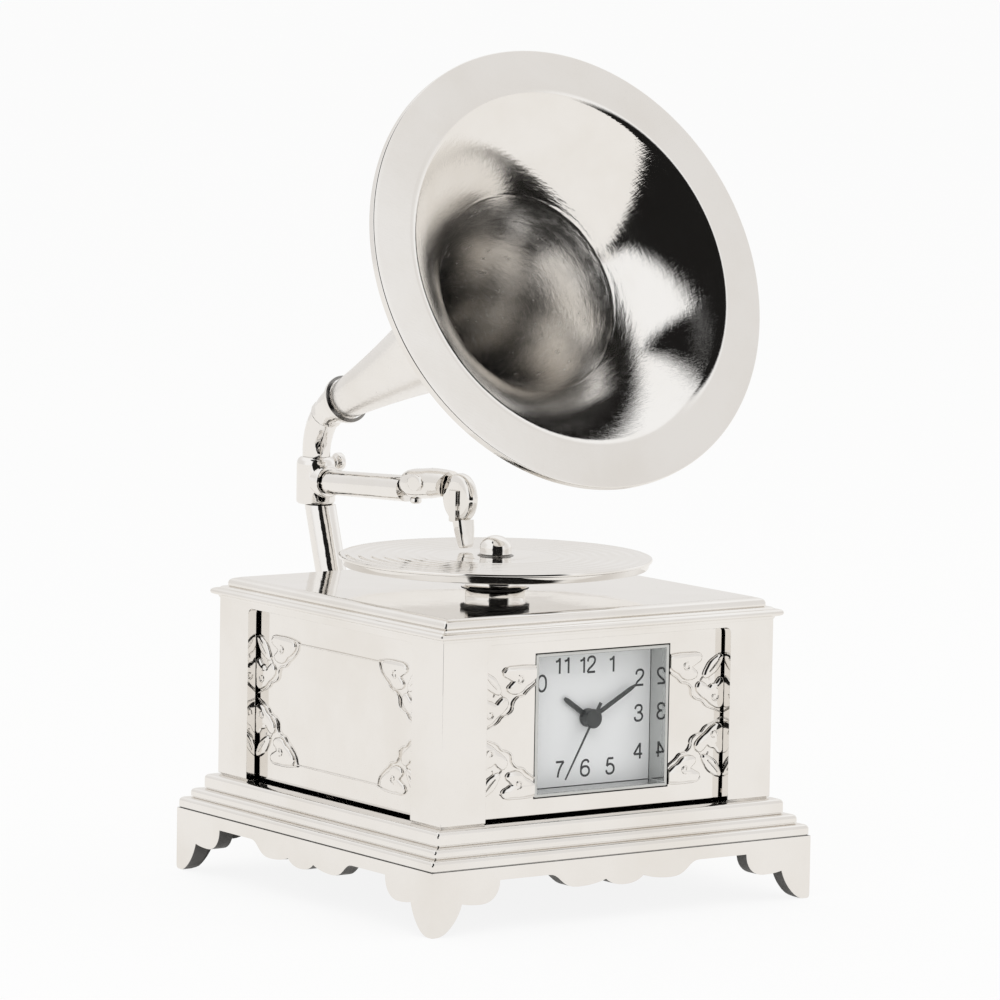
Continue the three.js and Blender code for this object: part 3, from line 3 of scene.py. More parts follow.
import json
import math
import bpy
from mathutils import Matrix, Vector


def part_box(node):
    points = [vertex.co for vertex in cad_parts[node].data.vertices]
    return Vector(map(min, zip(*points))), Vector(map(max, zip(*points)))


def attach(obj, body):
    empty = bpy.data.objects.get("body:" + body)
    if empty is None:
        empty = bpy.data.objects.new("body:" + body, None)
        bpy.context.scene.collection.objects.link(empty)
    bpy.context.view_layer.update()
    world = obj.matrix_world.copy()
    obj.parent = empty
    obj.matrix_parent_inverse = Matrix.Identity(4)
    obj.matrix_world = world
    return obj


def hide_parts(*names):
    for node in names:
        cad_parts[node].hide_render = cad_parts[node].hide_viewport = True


bl_info = {
    "name": "Miniature gramophone clock",
    "version": (1, 0, 0),
    "blender": (4, 5, 0),
    "location": "View3D > Sidebar > Gramophone clock",
    "description": "Models and finishes a miniature gramophone clock and its stage",
    "category": "Object",
}

import bpy
from bpy.props import FloatProperty, FloatVectorProperty, IntProperty, PointerProperty
from mathutils import Matrix, Vector

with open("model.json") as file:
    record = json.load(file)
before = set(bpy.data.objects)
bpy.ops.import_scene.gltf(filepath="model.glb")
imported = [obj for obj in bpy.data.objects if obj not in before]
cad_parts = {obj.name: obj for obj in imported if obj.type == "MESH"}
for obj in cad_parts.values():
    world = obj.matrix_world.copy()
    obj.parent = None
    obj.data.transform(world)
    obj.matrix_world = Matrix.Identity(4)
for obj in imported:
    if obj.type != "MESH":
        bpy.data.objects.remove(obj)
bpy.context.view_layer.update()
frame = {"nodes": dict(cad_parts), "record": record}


# Sizes shared by several pieces, in millimetres, read from the frame where it has them

def low(node):
    """The lowest corner of a CAD node."""
    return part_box(node)[0] * 1000


def high(node):
    """The highest corner of a CAD node."""
    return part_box(node)[1] * 1000


def middle(node):
    """The middle of a CAD node."""
    return (low(node) + high(node)) / 2


def span(node):
    """The foot, the head and the reach of a CAD node: its lowest and highest z and its highest x."""
    return low(node).z, high(node).z, high(node).x


# The middle of the case along Y, then its body, its skirt and its moulding
SHIFT = (low("foot_skirt").y + high("foot_skirt").y) / 2
BODY_BASE, BODY_TOP, BODY = span("case_frame")
SKIRT = high("foot_skirt").x
SKIRT_TOP = 7.0
MOULDING_TOP = 11.0
# The panels' outer and inner face, how far they reach below the CAD's, and half a window's width
FRAME_IN = high("panel_right").x
PANEL_IN = low("panel_right").x
PANEL_DROP = 0.2
WINDOW = 16.2
# The turntable's bore radius, a screw head's height, and the heights of the dial's and bracket's middles
BORE = 0.85
SCREW_HEAD = 0.5
DIAL_Z = (low("bezel").z + high("bezel").z) / 2
BRACKET_Z = 25.25
# The tee, the arm above its base, the straight runs and bend of the elbow and ferrule, and the horn's tilt
TEE_BASE = 38.9
TEE_TOP = 44.4
TEE_MIDDLE = high("tee").y - 2.25
ARM_RISE = 2.75
ELBOW_RUN = 0.37
ELBOW_RADIUS = 6.3
FERRULE_RUN = 1.8
HORN_TILT = math.radians(22.66)


# Selecting, and starting and ending a piece

def deselect():
    """Leaves edit mode and selects nothing."""
    if bpy.context.mode != "OBJECT":
        bpy.ops.object.mode_set(mode="OBJECT")
    bpy.ops.object.select_all(action="DESELECT")


def pick(*pieces):
    """Selects these pieces alone, the first one active."""
    deselect()
    for piece in pieces:
        piece.select_set(True)
    bpy.context.view_layer.objects.active = pieces[0]


def edit(piece):
    """Opens a piece in edit mode, with all of it selected."""
    pick(piece)
    bpy.ops.object.mode_set(mode="EDIT")
    bpy.ops.mesh.select_mode(type="VERT")
    bpy.ops.mesh.select_all(action="SELECT")


def edit_faces(piece, chosen):
    """Opens a piece in edit mode, with the faces selected that a test chooses by their middle and normal."""
    edit(piece)
    bpy.ops.mesh.select_mode(type="FACE")
    bpy.ops.mesh.select_all(action="DESELECT")
    bpy.ops.object.mode_set(mode="OBJECT")
    for face in piece.data.polygons:
        face.select = chosen(face.center, face.normal)
    bpy.ops.object.mode_set(mode="EDIT")


def settle(piece, doubles=0.0005):
    """Merges doubles, turns the faces outwards and leaves edit mode."""
    edit(piece)
    bpy.ops.mesh.remove_doubles(threshold=doubles)
    bpy.ops.mesh.normals_make_consistent(inside=False)
    bpy.ops.object.mode_set(mode="OBJECT")
    return piece


def move(piece, spot=(0, 0, 0), turn=(0, 0, 0), scale=(1, 1, 1)):
    """Scales, turns and moves a piece's mesh about the origin, in millimetres and degrees."""
    pick(piece)
    piece.location = spot
    piece.rotation_euler = [math.radians(angle) for angle in turn]
    piece.scale = scale
    bpy.ops.object.transform_apply(location=True, rotation=True, scale=True)
    if scale[0] * scale[1] * scale[2] < 0:
        settle(piece, 0.00001)
    return piece


def twin(piece):
    """A copy of a piece with its own mesh."""
    copy = piece.copy()
    copy.data = piece.data.copy()
    bpy.context.scene.collection.objects.link(copy)
    return copy


def joined(*pieces):
    """Joins pieces into the first one."""
    pick(*pieces)
    bpy.ops.object.join()
    return pieces[0]


def finish(piece, name, *nodes, body="case", look="nickel_plate", slot="nickel_plate", smooth=40):
    """Scales a piece from millimetres to metres, names it, dresses it and lets it ride on its body."""
    move(piece, scale=(0.001, 0.001, 0.001))
    bpy.ops.object.shade_smooth_by_angle(angle=math.radians(smooth))
    even = piece.modifiers.new("even shading", "WEIGHTED_NORMAL")
    even.keep_sharp = True
    bpy.ops.object.modifier_apply(modifier=even.name)
    piece.name = name
    piece.data.name = name
    piece.data.materials.clear()
    piece.data.materials.append(finishes(look))
    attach(piece, body)
    if nodes:
        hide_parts(*nodes)
    return piece


def lined(piece, look, chosen):
    """Gives a second finish to the faces that a test chooses by their middle, in millimetres, and normal."""
    piece.data.materials.append(finishes(look))
    for face in piece.data.polygons:
        if chosen(face.center * 1000, face.normal):
            face.material_index = 1


# Lines of points

def between(first, second, share):
    """The point that share of the way from one point to another."""
    return tuple(a + (b - a) * share for a, b in zip(first, second))


def bezier(points, steps):
    """Points along a Bezier curve, without its first one."""
    line = []
    for step in range(1, steps + 1):
        left = points
        while len(left) > 1:
            left = [between(a, b, step / steps) for a, b in zip(left, left[1:])]
        line += left
    return line


def arc(centre, radius, start, turn, steps):
    """Points round a part of a circle; angles in degrees."""
    angles = [math.radians(start + turn * step / steps) for step in range(steps + 1)]
    return [(centre[0] + radius * math.cos(a), centre[1] + radius * math.sin(a)) for a in angles]


def offsets(reach, height, *steps):
    """Points given by their distances from a corner."""
    return [(reach + across, height + up) for across, up in steps]


def bored(foot, head, edge, bore=BORE):
    """The closed profile of a ring, from its outer edge."""
    return [(bore, foot), *edge, (bore, head), (bore, foot)]


def ring(node, foot_edge, head_edge, bore=BORE):
    """The profile of a ring for a CAD node; its edge is given from the node's lower and upper corners."""
    foot, head, reach = span(node)
    return bored(foot, head, offsets(reach, foot, *foot_edge) + offsets(reach, head, *head_edge), bore)


def bend(start, heading, run, radius, turn, end_run, steps):
    """Points of a straight run, a round bend to the left and a second run; angles in degrees."""
    def ahead(spot, angle, distance):
        return arc(spot, distance, angle, 0, 1)[0]
    centre = ahead(ahead(start, heading, run), heading + 90, radius)
    points = [start] * (run > 0) + arc(centre, radius, heading - 90, turn, steps)
    return points + [ahead(points[-1], heading + turn, end_run)] * (end_run > 0)


# Shaping

def raised(outline, profile, segments=72, corner=0.0):
    """A round or square outline raised through steps of [reach, height]; a closed profile makes a ring."""
    deselect()
    reach, height = profile[0]
    corner *= reach / max(step[0] for step in profile)
    if outline == "round":
        bpy.ops.mesh.primitive_circle_add(vertices=segments, radius=reach, location=(0, 0, height))
    else:
        bpy.ops.mesh.primitive_plane_add(size=2 * reach, location=(0, 0, height))
    bpy.ops.object.transform_apply(location=True, rotation=False, scale=False)
    piece = bpy.context.object
    edit(piece)
    if outline == "square":
        if corner:
            bpy.ops.mesh.bevel(offset=corner, segments=3, affect="VERTICES")
            bpy.ops.mesh.select_all(action="SELECT")
        bpy.ops.mesh.delete(type="ONLY_FACE")
        bpy.ops.mesh.select_all(action="SELECT")
    for next_reach, next_height in profile[1:]:
        rise = (0, 0, next_height - height)
        bpy.ops.mesh.extrude_region_move(TRANSFORM_OT_translate={"value": rise})
        spread = next_reach / reach
        bpy.ops.transform.resize(value=(spread, spread, 1), center_override=(0, 0, next_height))
        reach, height = next_reach, next_height
    bpy.ops.mesh.select_all(action="SELECT")
    bpy.ops.mesh.remove_doubles(threshold=0.0005)
    if profile[0] != profile[-1]:
        bpy.ops.mesh.fill_holes(sides=0)
    return settle(piece)


def turned(profile, segments=72, place=(0, SHIFT, 0), turn=(0, 0, 0)):
    """A round piece from its profile, turned and put in its place."""
    return move(raised("round", profile, segments), place, turn)


def moulded(profile):
    """A square moulding of the case from its profile, with the case's small corner rounding."""
    corner = bpy.context.scene.clock_case.corner * 1000
    return move(raised("square", profile, corner=corner), (0, SHIFT, 0))


def block(low_corner, high_corner):
    """A box between two corners."""
    deselect()
    bpy.ops.mesh.primitive_cube_add(size=1, location=between(low_corner, high_corner, 0.5))
    piece = bpy.context.object
    piece.scale = [b - a for a, b in zip(low_corner, high_corner)]
    bpy.ops.object.transform_apply(location=True, rotation=False, scale=True)
    return piece


def slab(points, start, end):
    """A flat outline of [x, z] points with a thickness along Y."""
    deselect()
    bpy.ops.mesh.primitive_circle_add(vertices=len(points), fill_type="NGON")
    piece = bpy.context.object
    for vertex, (x, z) in zip(piece.data.vertices, points):
        vertex.co = (x, start, z)
    edit(piece)
    bpy.ops.mesh.extrude_region_move(TRANSFORM_OT_translate={"value": (0, end - start, 0)})
    return settle(piece)


def soften(piece, width, segments=2, angle=35):
    """Rounds the edges that are sharper than an angle."""
    pick(piece)
    bevel = piece.modifiers.new("edges", "BEVEL")
    bevel.width = width
    bevel.segments = segments
    bevel.limit_method = "ANGLE"
    bevel.angle_limit = math.radians(angle)
    bpy.ops.object.modifier_apply(modifier=bevel.name)
    return piece


def carve(piece, tool, operation="DIFFERENCE"):
    """Cuts a piece with a tool, or keeps what they share or fill together, and discards the tool."""
    pick(piece)
    cut = piece.modifiers.new("cut", "BOOLEAN")
    cut.object = tool
    cut.operation = operation
    cut.solver = "EXACT"
    bpy.ops.object.modifier_apply(modifier=cut.name)
    bpy.data.objects.remove(tool)
    return settle(piece)


def carve_twice(piece, tool, operation="DIFFERENCE"):
    """Carves a square piece with a tool from the front and, turned, from the side."""
    side = move(twin(tool), turn=(0, 0, 90))
    return carve(carve(piece, tool, operation), side, operation)


def curve(points, radii, depth, kind="BEZIER", closed=False, smooth=6, rings=7, flat=False):
    """A curve through points, as a tube of changing radius, or as a filled flat shape."""
    deselect()
    bpy.ops.curve.primitive_bezier_curve_add()
    data = bpy.context.object.data
    data.splines.clear()
    spline = data.splines.new(kind)
    ends = spline.bezier_points if kind == "BEZIER" else spline.points
    ends.add(len(points) - 1)
    for end, point, radius in zip(ends, points, radii):
        end.co = point if kind == "BEZIER" else (*point, 1)
        end.radius = radius
        if kind == "BEZIER":
            end.handle_left_type = "AUTO"
            end.handle_right_type = "AUTO"
    spline.use_cyclic_u = closed
    data.resolution_u = smooth
    data.bevel_depth = depth
    data.bevel_resolution = rings
    data.dimensions = "2D" if flat else "3D"
    data.use_fill_caps = not flat
    if flat:
        data.fill_mode = "BOTH"
    pick(bpy.context.object)
    bpy.ops.object.convert(target="MESH")
    return settle(bpy.context.object)


def tube(path, radius_at, sides=28):
    """A tube along [y, z] points; radius_at gives its radius at each share of the way."""
    radii = [radius_at(index / (len(path) - 1)) for index in range(len(path))]
    return curve([(0, y, z) for y, z in path], radii, 1, "POLY", rings=sides // 4 - 1)


# Shader values and finishes

def maths_method(operation, swapped=False):
    """A method of Term that adds a Math node."""
    def method(self, other):
        return compute(operation, other, self) if swapped else compute(operation, self, other)
    return method


class Term:
    """A socket of a material in an expression."""

    def __init__(self, tree, socket):
        self.tree = tree
        self.socket = socket

    __add__ = maths_method("ADD")
    __sub__ = maths_method("SUBTRACT")
    __rsub__ = maths_method("SUBTRACT", swapped=True)
    __mul__ = maths_method("MULTIPLY")
    __rmul__ = maths_method("MULTIPLY", swapped=True)
    __truediv__ = maths_method("DIVIDE")


def feed(socket, value):
    """Links a term to a socket, or sets the socket's own value."""
    if isinstance(value, Term):
        value.tree.links.new(value.socket, socket)
    else:
        socket.default_value = value


def compute(operation, *values):
    """A Math node on terms and numbers."""
    tree = next(value.tree for value in values if isinstance(value, Term))
    node = tree.nodes.new("ShaderNodeMath")
    node.operation = operation
    for place, value in enumerate(values):
        feed(node.inputs[place], value)
    return Term(tree, node.outputs[0])


class Mixer:
    """Builds one node tree."""

    def __init__(self, tree):
        self.tree = tree

    def node(self, kind, output=0, settings=None, **values):
        """A node, its settings set first; a socket's spaces are underscores, and n0 is the first socket."""
        node = self.tree.nodes.new("ShaderNode" + kind)
        for key, value in (settings or {}).items():
            setattr(node, key, value)
        for key, value in values.items():
            place = int(key[1:]) if key[0] == "n" and key[1:].isdigit() else key.replace("_", " ")
            feed(node.inputs[place], value)
        return Term(self.tree, node.outputs[output])

    def split(self, vector):
        """The x, y and z of a vector."""
        first = self.node("SeparateXYZ", n0=vector)
        return [Term(self.tree, socket) for socket in first.socket.node.outputs]

    def place(self, spot=(0, 0, 0), turn=(0, 0, 0), scale=(1, 1, 1)):
        """Object coordinates, moved, turned and scaled."""
        return self.node(
            "Mapping", settings={"vector_type": "TEXTURE"}, Vector=self.node("TexCoord", output=3),
            Location=spot, Rotation=[math.radians(angle) for angle in turn], Scale=scale)

    def noise(self, where, scale, detail=3.0, rough=0.55):
        """Noise from 0 to 1."""
        return self.node("TexNoise", Vector=where, Scale=scale, Detail=detail, Roughness=rough)

    def ramp(self, value, start, end, first=0.0, last=1.0):
        """A value mapped smoothly from one range to another."""
        settings = {"interpolation_type": "SMOOTHSTEP", "clamp": True}
        return self.node("MapRange", settings=settings, n0=value, n1=start, n2=end, n3=first, n4=last)

    def band(self, value, start, full, full_end, end):
        """1 inside a range and 0 outside it, with soft ends."""
        return self.ramp(value, start, full) * self.ramp(value, full_end, end, 1.0, 0.0)

    def mixed(self, share, first, second):
        """Two colours mixed by a share."""
        return self.node("Mix", output=2, settings={"data_type": "RGBA"}, n0=share, n6=first, n7=second)

    def ray(self, kind):
        """Whether the ray is of a kind: one of the Light Path node's outputs."""
        return self.node("LightPath", output=kind)


# Outputs of the Light Path node
CAMERA_RAY, GLOSSY_RAY, TRANSMISSION_RAY = 0, 3, 6


def new_finish(name, colour, roughness, metallic=0.0, relief=None, depth=0.0, alpha=None):
    """A material with a Principled shader; colour, roughness and relief are functions of its Mixer."""
    material = bpy.data.materials.new("clock_" + name)
    material.use_nodes = True
    mixer = Mixer(material.node_tree)
    sockets = mixer.tree.nodes["Principled BSDF"].inputs
    sockets["Metallic"].default_value = metallic
    sockets["Alpha"].default_value = alpha() if alpha else 1.0
    feed(sockets["Base Color"], colour(mixer))
    feed(sockets["Roughness"], roughness(mixer))
    if relief:
        feed(sockets["Normal"], mixer.node("Bump", Height=relief(mixer), Strength=1.0, Distance=depth))
    return material


def drifting(mixer, share, first, second):
    """A colour that drifts from one tone to another."""
    return mixer.mixed(share, (*first, 1), (*second, 1))


def finish_settings():
    """The settings of colours and polish."""
    return bpy.context.scene.clock_finish


def plate_colour(mixer):
    """Warm silver-coloured plate with faint cloudy toning."""
    share = mixer.ramp(mixer.noise(mixer.place(), 90, 4), 0.35, 0.75)
    return drifting(mixer, share, finish_settings().plate_colour, finish_settings().plate_toning)


def plate_roughness(mixer):
    """Mirror polish with faint wiping marks."""
    base = finish_settings().plate_roughness
    marks = mixer.noise(mixer.place(scale=(1, 1, 0.2)), 600, 4, 0.7)
    return mixer.ramp(marks, 0.4, 0.8, base, base * 2.2)


def plate_waves(mixer):
    """The low waves and fine grain of hand-polished plate."""
    where = mixer.place()
    return mixer.noise(where, 110, 2) * 0.8 + mixer.noise(where, 900, 2) * 0.06


def spinning_marks(mixer, fineness):
    """Short marks round the horn, as a spinning tool leaves them, and the distance along its axis."""
    spot, turn = horn_place()
    x, y, along = mixer.split(mixer.place(spot=[c / 1000 for c in spot], turn=turn))
    reach = compute("SQRT", x * x + y * y)
    where = mixer.node("CombineXYZ", X=x / reach * 7, Y=y / reach * 7, Z=along * fineness)
    return mixer.noise(where, 1.0, 3, 0.6), along


def horn_lines(mixer):
    """Relief of the spinning marks, a ring where the polish ends, and a few fine scratches."""
    polish_end = bpy.context.scene.clock_horn.polish_end
    marks, along = spinning_marks(mixer, 2300)
    strength = mixer.ramp(along, polish_end, polish_end + 0.005, 0.55, 0.2)
    end_ring = mixer.ramp(compute("ABSOLUTE", along - polish_end), 0.0, 0.0003, 1.0, 0.0)
    scratches = mixer.noise(mixer.place(turn=(30, 40, 0), scale=(1, 0.08, 1)), 1100, 2, 0.7)
    return marks * strength + end_ring * 0.35 + scratches * 0.15 + plate_waves(mixer) * 0.5


def horn_polish(mixer):
    """Roughness of the horn: bright at its bowl, dull below the ring where the polish ends."""
    polish_end = bpy.context.scene.clock_horn.polish_end
    marks, along = spinning_marks(mixer, 1800)
    base = finish_settings().plate_roughness
    dull = mixer.ramp(along, polish_end - 0.0014, polish_end + 0.0004, 0.2, base * 2.2)
    dull = dull * mixer.ramp(along, polish_end, polish_end + 0.006, 1.0, 0.5)
    return dull * mixer.ramp(marks, 0.35, 0.75, 0.85, 1.4)


def fitting_waves(mixer):
    """The uneven, cast and hand-filed surface of the small fittings."""
    where = mixer.place()
    return mixer.noise(where, 330, 3, 0.6) + mixer.noise(where, 1300, 2) * 0.08


def record_rings(mixer):
    """Fine grooves between the ridges of the record, and faint sweeps across them."""
    x, y, _ = mixer.split(mixer.place(spot=(0, SHIFT / 1000, 0)))
    distance = compute("SQRT", x * x + y * y)
    where = mixer.node("CombineXYZ", X=distance * 2600)
    return mixer.noise(where, 1.0, 3, 0.6) + mixer.noise(mixer.place(), 140, 2) * 0.4


def dial_colour(mixer):
    """Matt white print, with faint painted shade towards its edges, where the bezel's walls shade the
    recessed dial.
    """
    x, _, z = mixer.split(mixer.place(spot=(0, 0, DIAL_Z / 1000)))
    reach = compute("MAXIMUM", compute("ABSOLUTE", x), compute("ABSOLUTE", z))
    white = finish_settings().dial_colour
    return drifting(mixer, mixer.ramp(reach, 0.004, 0.0085), white, [c * 0.93 for c in white])


def windings(mixer):
    """The turns of wire on the coil."""
    x, _, _ = mixer.split(mixer.place())
    return compute("SINE", x * (2 * math.pi / 0.00012)) * 0.5 + 0.5


def glass_alpha():
    """How much of the flat glass shows."""
    return finish_settings().glass_alpha


def grain(scale):
    """A plain fine grain for a relief."""
    return lambda mixer: mixer.noise(mixer.place(), scale)


def tinted(first, second, scale):
    """A colour that drifts between two close tones."""
    return lambda mixer: drifting(
        mixer, mixer.ramp(mixer.noise(mixer.place(), scale, 4), 0.3, 0.7), first, second)


def speckled(first, second, scale):
    """A roughness that varies between two values."""
    return lambda mixer: mixer.ramp(mixer.noise(mixer.place(), scale, 4), 0.3, 0.7, first, second)


# Each finish by its colour, roughness and metallic share, then its relief and the relief's depth in metres
RECIPES = {
    "nickel_plate": (plate_colour, plate_roughness, 1.0, plate_waves, 0.00003),
    "horn_plate": (plate_colour, horn_polish, 1.0, horn_lines, 0.00004),
    "fitting_plate": (plate_colour, plate_roughness, 1.0, fitting_waves, 0.00006),
    "record_plate": (plate_colour, plate_roughness, 1.0, record_rings, 0.000012),
    "shadowed_plate": (
        tinted((0.2, 0.195, 0.185), (0.3, 0.29, 0.28), 900), speckled(0.18, 0.3, 900), 1.0,
        grain(900), 0.00002),
    # Painted shade: a dull dark grey for the shade inside the skirt and at the pedestal's ends under the
    # platter
    "painted_shade": (
        tinted((0.115, 0.112, 0.107), (0.095, 0.092, 0.088), 500), speckled(0.5, 0.65, 700), 0.0,
        grain(900), 0.00003),
    "inner_wall": (tinted((0.62, 0.63, 0.62), (0.58, 0.59, 0.58), 300), speckled(0.05, 0.09, 500), 1.0),
    "steel": (
        tinted((0.55, 0.56, 0.58), (0.47, 0.48, 0.5), 700), speckled(0.25, 0.42, 900), 1.0,
        grain(1500), 0.00001),
    "wheel_brass": (
        tinted((0.78, 0.6, 0.28), (0.7, 0.52, 0.24), 900), speckled(0.22, 0.38, 1200), 1.0,
        grain(2500), 0.00001),
    "hand_grey": (
        tinted((0.035, 0.038, 0.038), (0.045, 0.048, 0.048), 1500), speckled(0.38, 0.5, 2500), 0.0,
        grain(3000), 0.000004),
    "numeral_ink": (tinted((0.025, 0.026, 0.028), (0.035, 0.036, 0.038), 2500), speckled(0.5, 0.62, 2500)),
    "dial_white": (dial_colour, speckled(0.55, 0.7, 2000), 0.0, grain(4000), 0.000003),
    "crystal_glass": (
        tinted((0.97, 0.99, 0.99), (0.95, 0.98, 0.98), 200), speckled(0.02, 0.04, 400), 0.0,
        None, 0.0, glass_alpha),
    "black_plastic": (
        tinted((0.03, 0.03, 0.032), (0.04, 0.04, 0.043), 600), speckled(0.42, 0.6, 900), 0.0,
        grain(1800), 0.00002),
    "white_plastic": (
        tinted((0.82, 0.81, 0.77), (0.77, 0.76, 0.72), 600), speckled(0.35, 0.5, 900), 0.0,
        grain(1800), 0.00001),
    "coil_wire": (
        tinted((0.55, 0.2, 0.08), (0.45, 0.15, 0.06), 900), speckled(0.25, 0.4, 1500), 1.0,
        windings, 0.00003),
    "board_green": (
        tinted((0.03, 0.15, 0.06), (0.05, 0.22, 0.09), 1400), speckled(0.3, 0.5, 900), 0.0,
        grain(1500), 0.00001),
}


def finishes(name):
    """The finish of that name, made the first time it is asked for."""
    return bpy.data.materials.get("clock_" + name) or new_finish(name, *RECIPES[name])


# Settings

def metres(name, default, lowest, highest, description):
    """A setting in metres."""
    return FloatProperty(
        name=name, description=description, default=default, min=lowest, max=highest,
        subtype="DISTANCE", unit="LENGTH")


def radians(name, default, description):
    """A setting in radians, shown in degrees."""
    return FloatProperty(
        name=name, description=description, default=default, subtype="ANGLE", unit="ROTATION")


def factor(name, default, highest, description):
    """A setting without a unit, from 0 up."""
    return FloatProperty(
        name=name, description=description, default=default, min=0, max=highest, subtype="FACTOR")


def tone(name, default, description):
    """A colour setting."""
    return FloatVectorProperty(
        name=name, description=description, default=default, size=3, min=0, max=1, subtype="COLOR")


class ClockCaseSettings(bpy.types.PropertyGroup):
    """Sizes of the case's plated pieces."""

    edge: metres("Edge rounding", 0.00012, 0.00002, 0.0004, "Radius of the rounded edges of the posts")
    corner: metres("Corner rounding", 0.0003, 0.00005, 0.001, "Radius of the mouldings' upright corners")
    frame_gap: metres("Gap behind the posts", 0.00035, 0.0001, 0.0006, "Open gap between posts and panels")
    relief: metres("Relief height", 0.00034, 0.00005, 0.0006, "How far scrolls and leaves stand out")
    line: metres("Relief line", 0.00034, 0.0001, 0.0006, "Width of the raised lines of the corner ornaments")


class ClockHornSettings(bpy.types.PropertyGroup):
    """Sizes of the horn."""

    wall: metres("Wall", 0.00045, 0.0002, 0.001, "Thickness of the horn's wall")
    bowl_radius: metres("Bowl radius", 0.0201, 0.015, 0.023, "Radius where the bowl meets the flat rim")
    rim_radius: metres("Rim radius", 0.025, 0.02, 0.03, "Outer radius of the flat rim")
    rolled_edge: metres("Rolled edge", 0.00095, 0.0005, 0.002, "Depth of the rim's turned-back outer edge")
    belly: metres("Belly", 0.00145, 0.0, 0.003, "How far the wall lies inside a plain flare near the bowl")
    polish_end: metres("End of the polish", 0.0389, 0.0, 0.05, "Where the polish ends, along the axis")
    segments: IntProperty(name="Segments", description="Faces around the horn", default=160, min=48, max=256)


class ClockTurntableSettings(bpy.types.PropertyGroup):
    """Sizes of the record on the turntable."""

    ridge_pitch: metres("Ridge pitch", 0.0013, 0.0008, 0.003, "Distance from one ridge to the next")
    ridge_height: metres("Ridge height", 0.00007, 0.00002, 0.0003, "Height of the record's ridges")
    ridges: IntProperty(name="Ridges", description="Ridges on the record", default=8, min=1, max=12)


class ClockDialSettings(bpy.types.PropertyGroup):
    """Sizes of the dial's printed numbers."""

    numeral_height: metres("Numeral height", 0.00172, 0.001, 0.003, "Height of the printed hour numbers")
    numeral_line: metres("Numeral line", 0.00025, 0.0001, 0.0004, "Line width of the printed hour numbers")


class ClockFinishSettings(bpy.types.PropertyGroup):
    """Colours and polish."""

    plate_colour: tone("Plate", (0.88, 0.862, 0.838), "Colour of the polished plate")
    plate_toning: tone("Plate toning", (0.84, 0.815, 0.78), "Colour of the faint clouds in the plate")
    plate_roughness: factor("Plate roughness", 0.045, 0.4, "Roughness of the polished plate")
    dial_colour: tone("Dial", (0.94, 0.95, 0.955), "Colour of the dial")
    glass_alpha: factor("Crystal opacity", 0.015, 1.0, "How much of the flat glass shows over the dial")


class ClockStageSettings(bpy.types.PropertyGroup):
    """Camera, floor and light."""

    azimuth: radians("Azimuth", -0.6136945, "Angle of the camera around the object")
    elevation: radians("Elevation", 0.1095948, "Angle of the camera above the floor")
    roll: radians("Roll", 0.0170160, "Roll of the camera")
    distance: metres("Distance", 0.675424, 0.1, 10.0, "Distance from the camera to the point it looks at")
    lens: FloatProperty(name="Lens", description="Focal length in millimetres", default=219.97, min=20)
    lamp_power: FloatProperty(
        name="Lamp power", description="Power of the large soft lamp in watts", default=1.6, min=0.0)
    floor_colour: tone("Floor", (0.92, 0.92, 0.91), "Colour of the pale floor")
    floor_glow: factor("Floor white", 0.88, 1.0, "How far the floor is plain white instead of lit")
    floor_reflection: tone("Floor in metal", (0.95, 0.93, 0.905), "Colour of the floor in reflections")
    room_colour: tone("Dark room", (0.012, 0.0115, 0.011), "Colour of the room in reflections")
    room_start: metres("Room distance", 0.3, 0.05, 10.0, "Distance from the object to the dark room")
    wall_colour: tone("Side wall", (0.84, 0.825, 0.81), "Colour of the right wall in reflections")


# Stage

def around(x, y):
    """The angle in degrees around the object from its front, toward its right side."""
    return compute("ARCTAN2", x, y * -1.0) * math.degrees(1)


def sky(world, settings):
    """White surroundings; polished metal also shows a dark room around the camera, with a lid and a wall."""
    world.use_nodes = True
    mixer = Mixer(world.node_tree)
    x, y, z = mixer.split(mixer.node("TexCoord", output=0))
    side = around(x, y)
    height = compute("ARCSINE", z) * math.degrees(1)
    room = mixer.band(side, -59.0, -56.0, 12.0, 24.0) * mixer.ramp(height, 82.0, 85.0, 1.0, 0.0)
    past = -58.0 - side
    lid = mixer.ramp(height - past * 0.42, 47.5, 50.0)
    lid = lid * mixer.ramp(height + past * 0.27, 83.0, 86.0, 1.0, 0.0)
    lid = lid * mixer.ramp(side, -59.0, -56.0, 1.0, 0.0)
    wall = mixer.band(side, 24.0, 40.0, 60.0, 90.0)
    behind = mixer.ramp(compute("ABSOLUTE", side), 95.0, 125.0) * mixer.ramp(height, 20.0, 45.0, 1.0, 0.0)
    seen = drifting(mixer, compute("MAXIMUM", wall, behind), (1, 1, 1), settings.wall_colour)
    seen = mixer.mixed(compute("MAXIMUM", room, lid), seen, (*settings.room_colour, 1))
    lit = mixer.mixed(mixer.ray(GLOSSY_RAY), (0.78, 0.78, 0.78, 1), seen)
    plain = compute("MAXIMUM", mixer.ray(CAMERA_RAY), mixer.ray(TRANSMISSION_RAY))
    background = mixer.tree.nodes["Background"]
    feed(background.inputs["Color"], mixer.mixed(plain, lit, (1, 1, 1, 1)))
    background.inputs["Strength"].default_value = 1.0


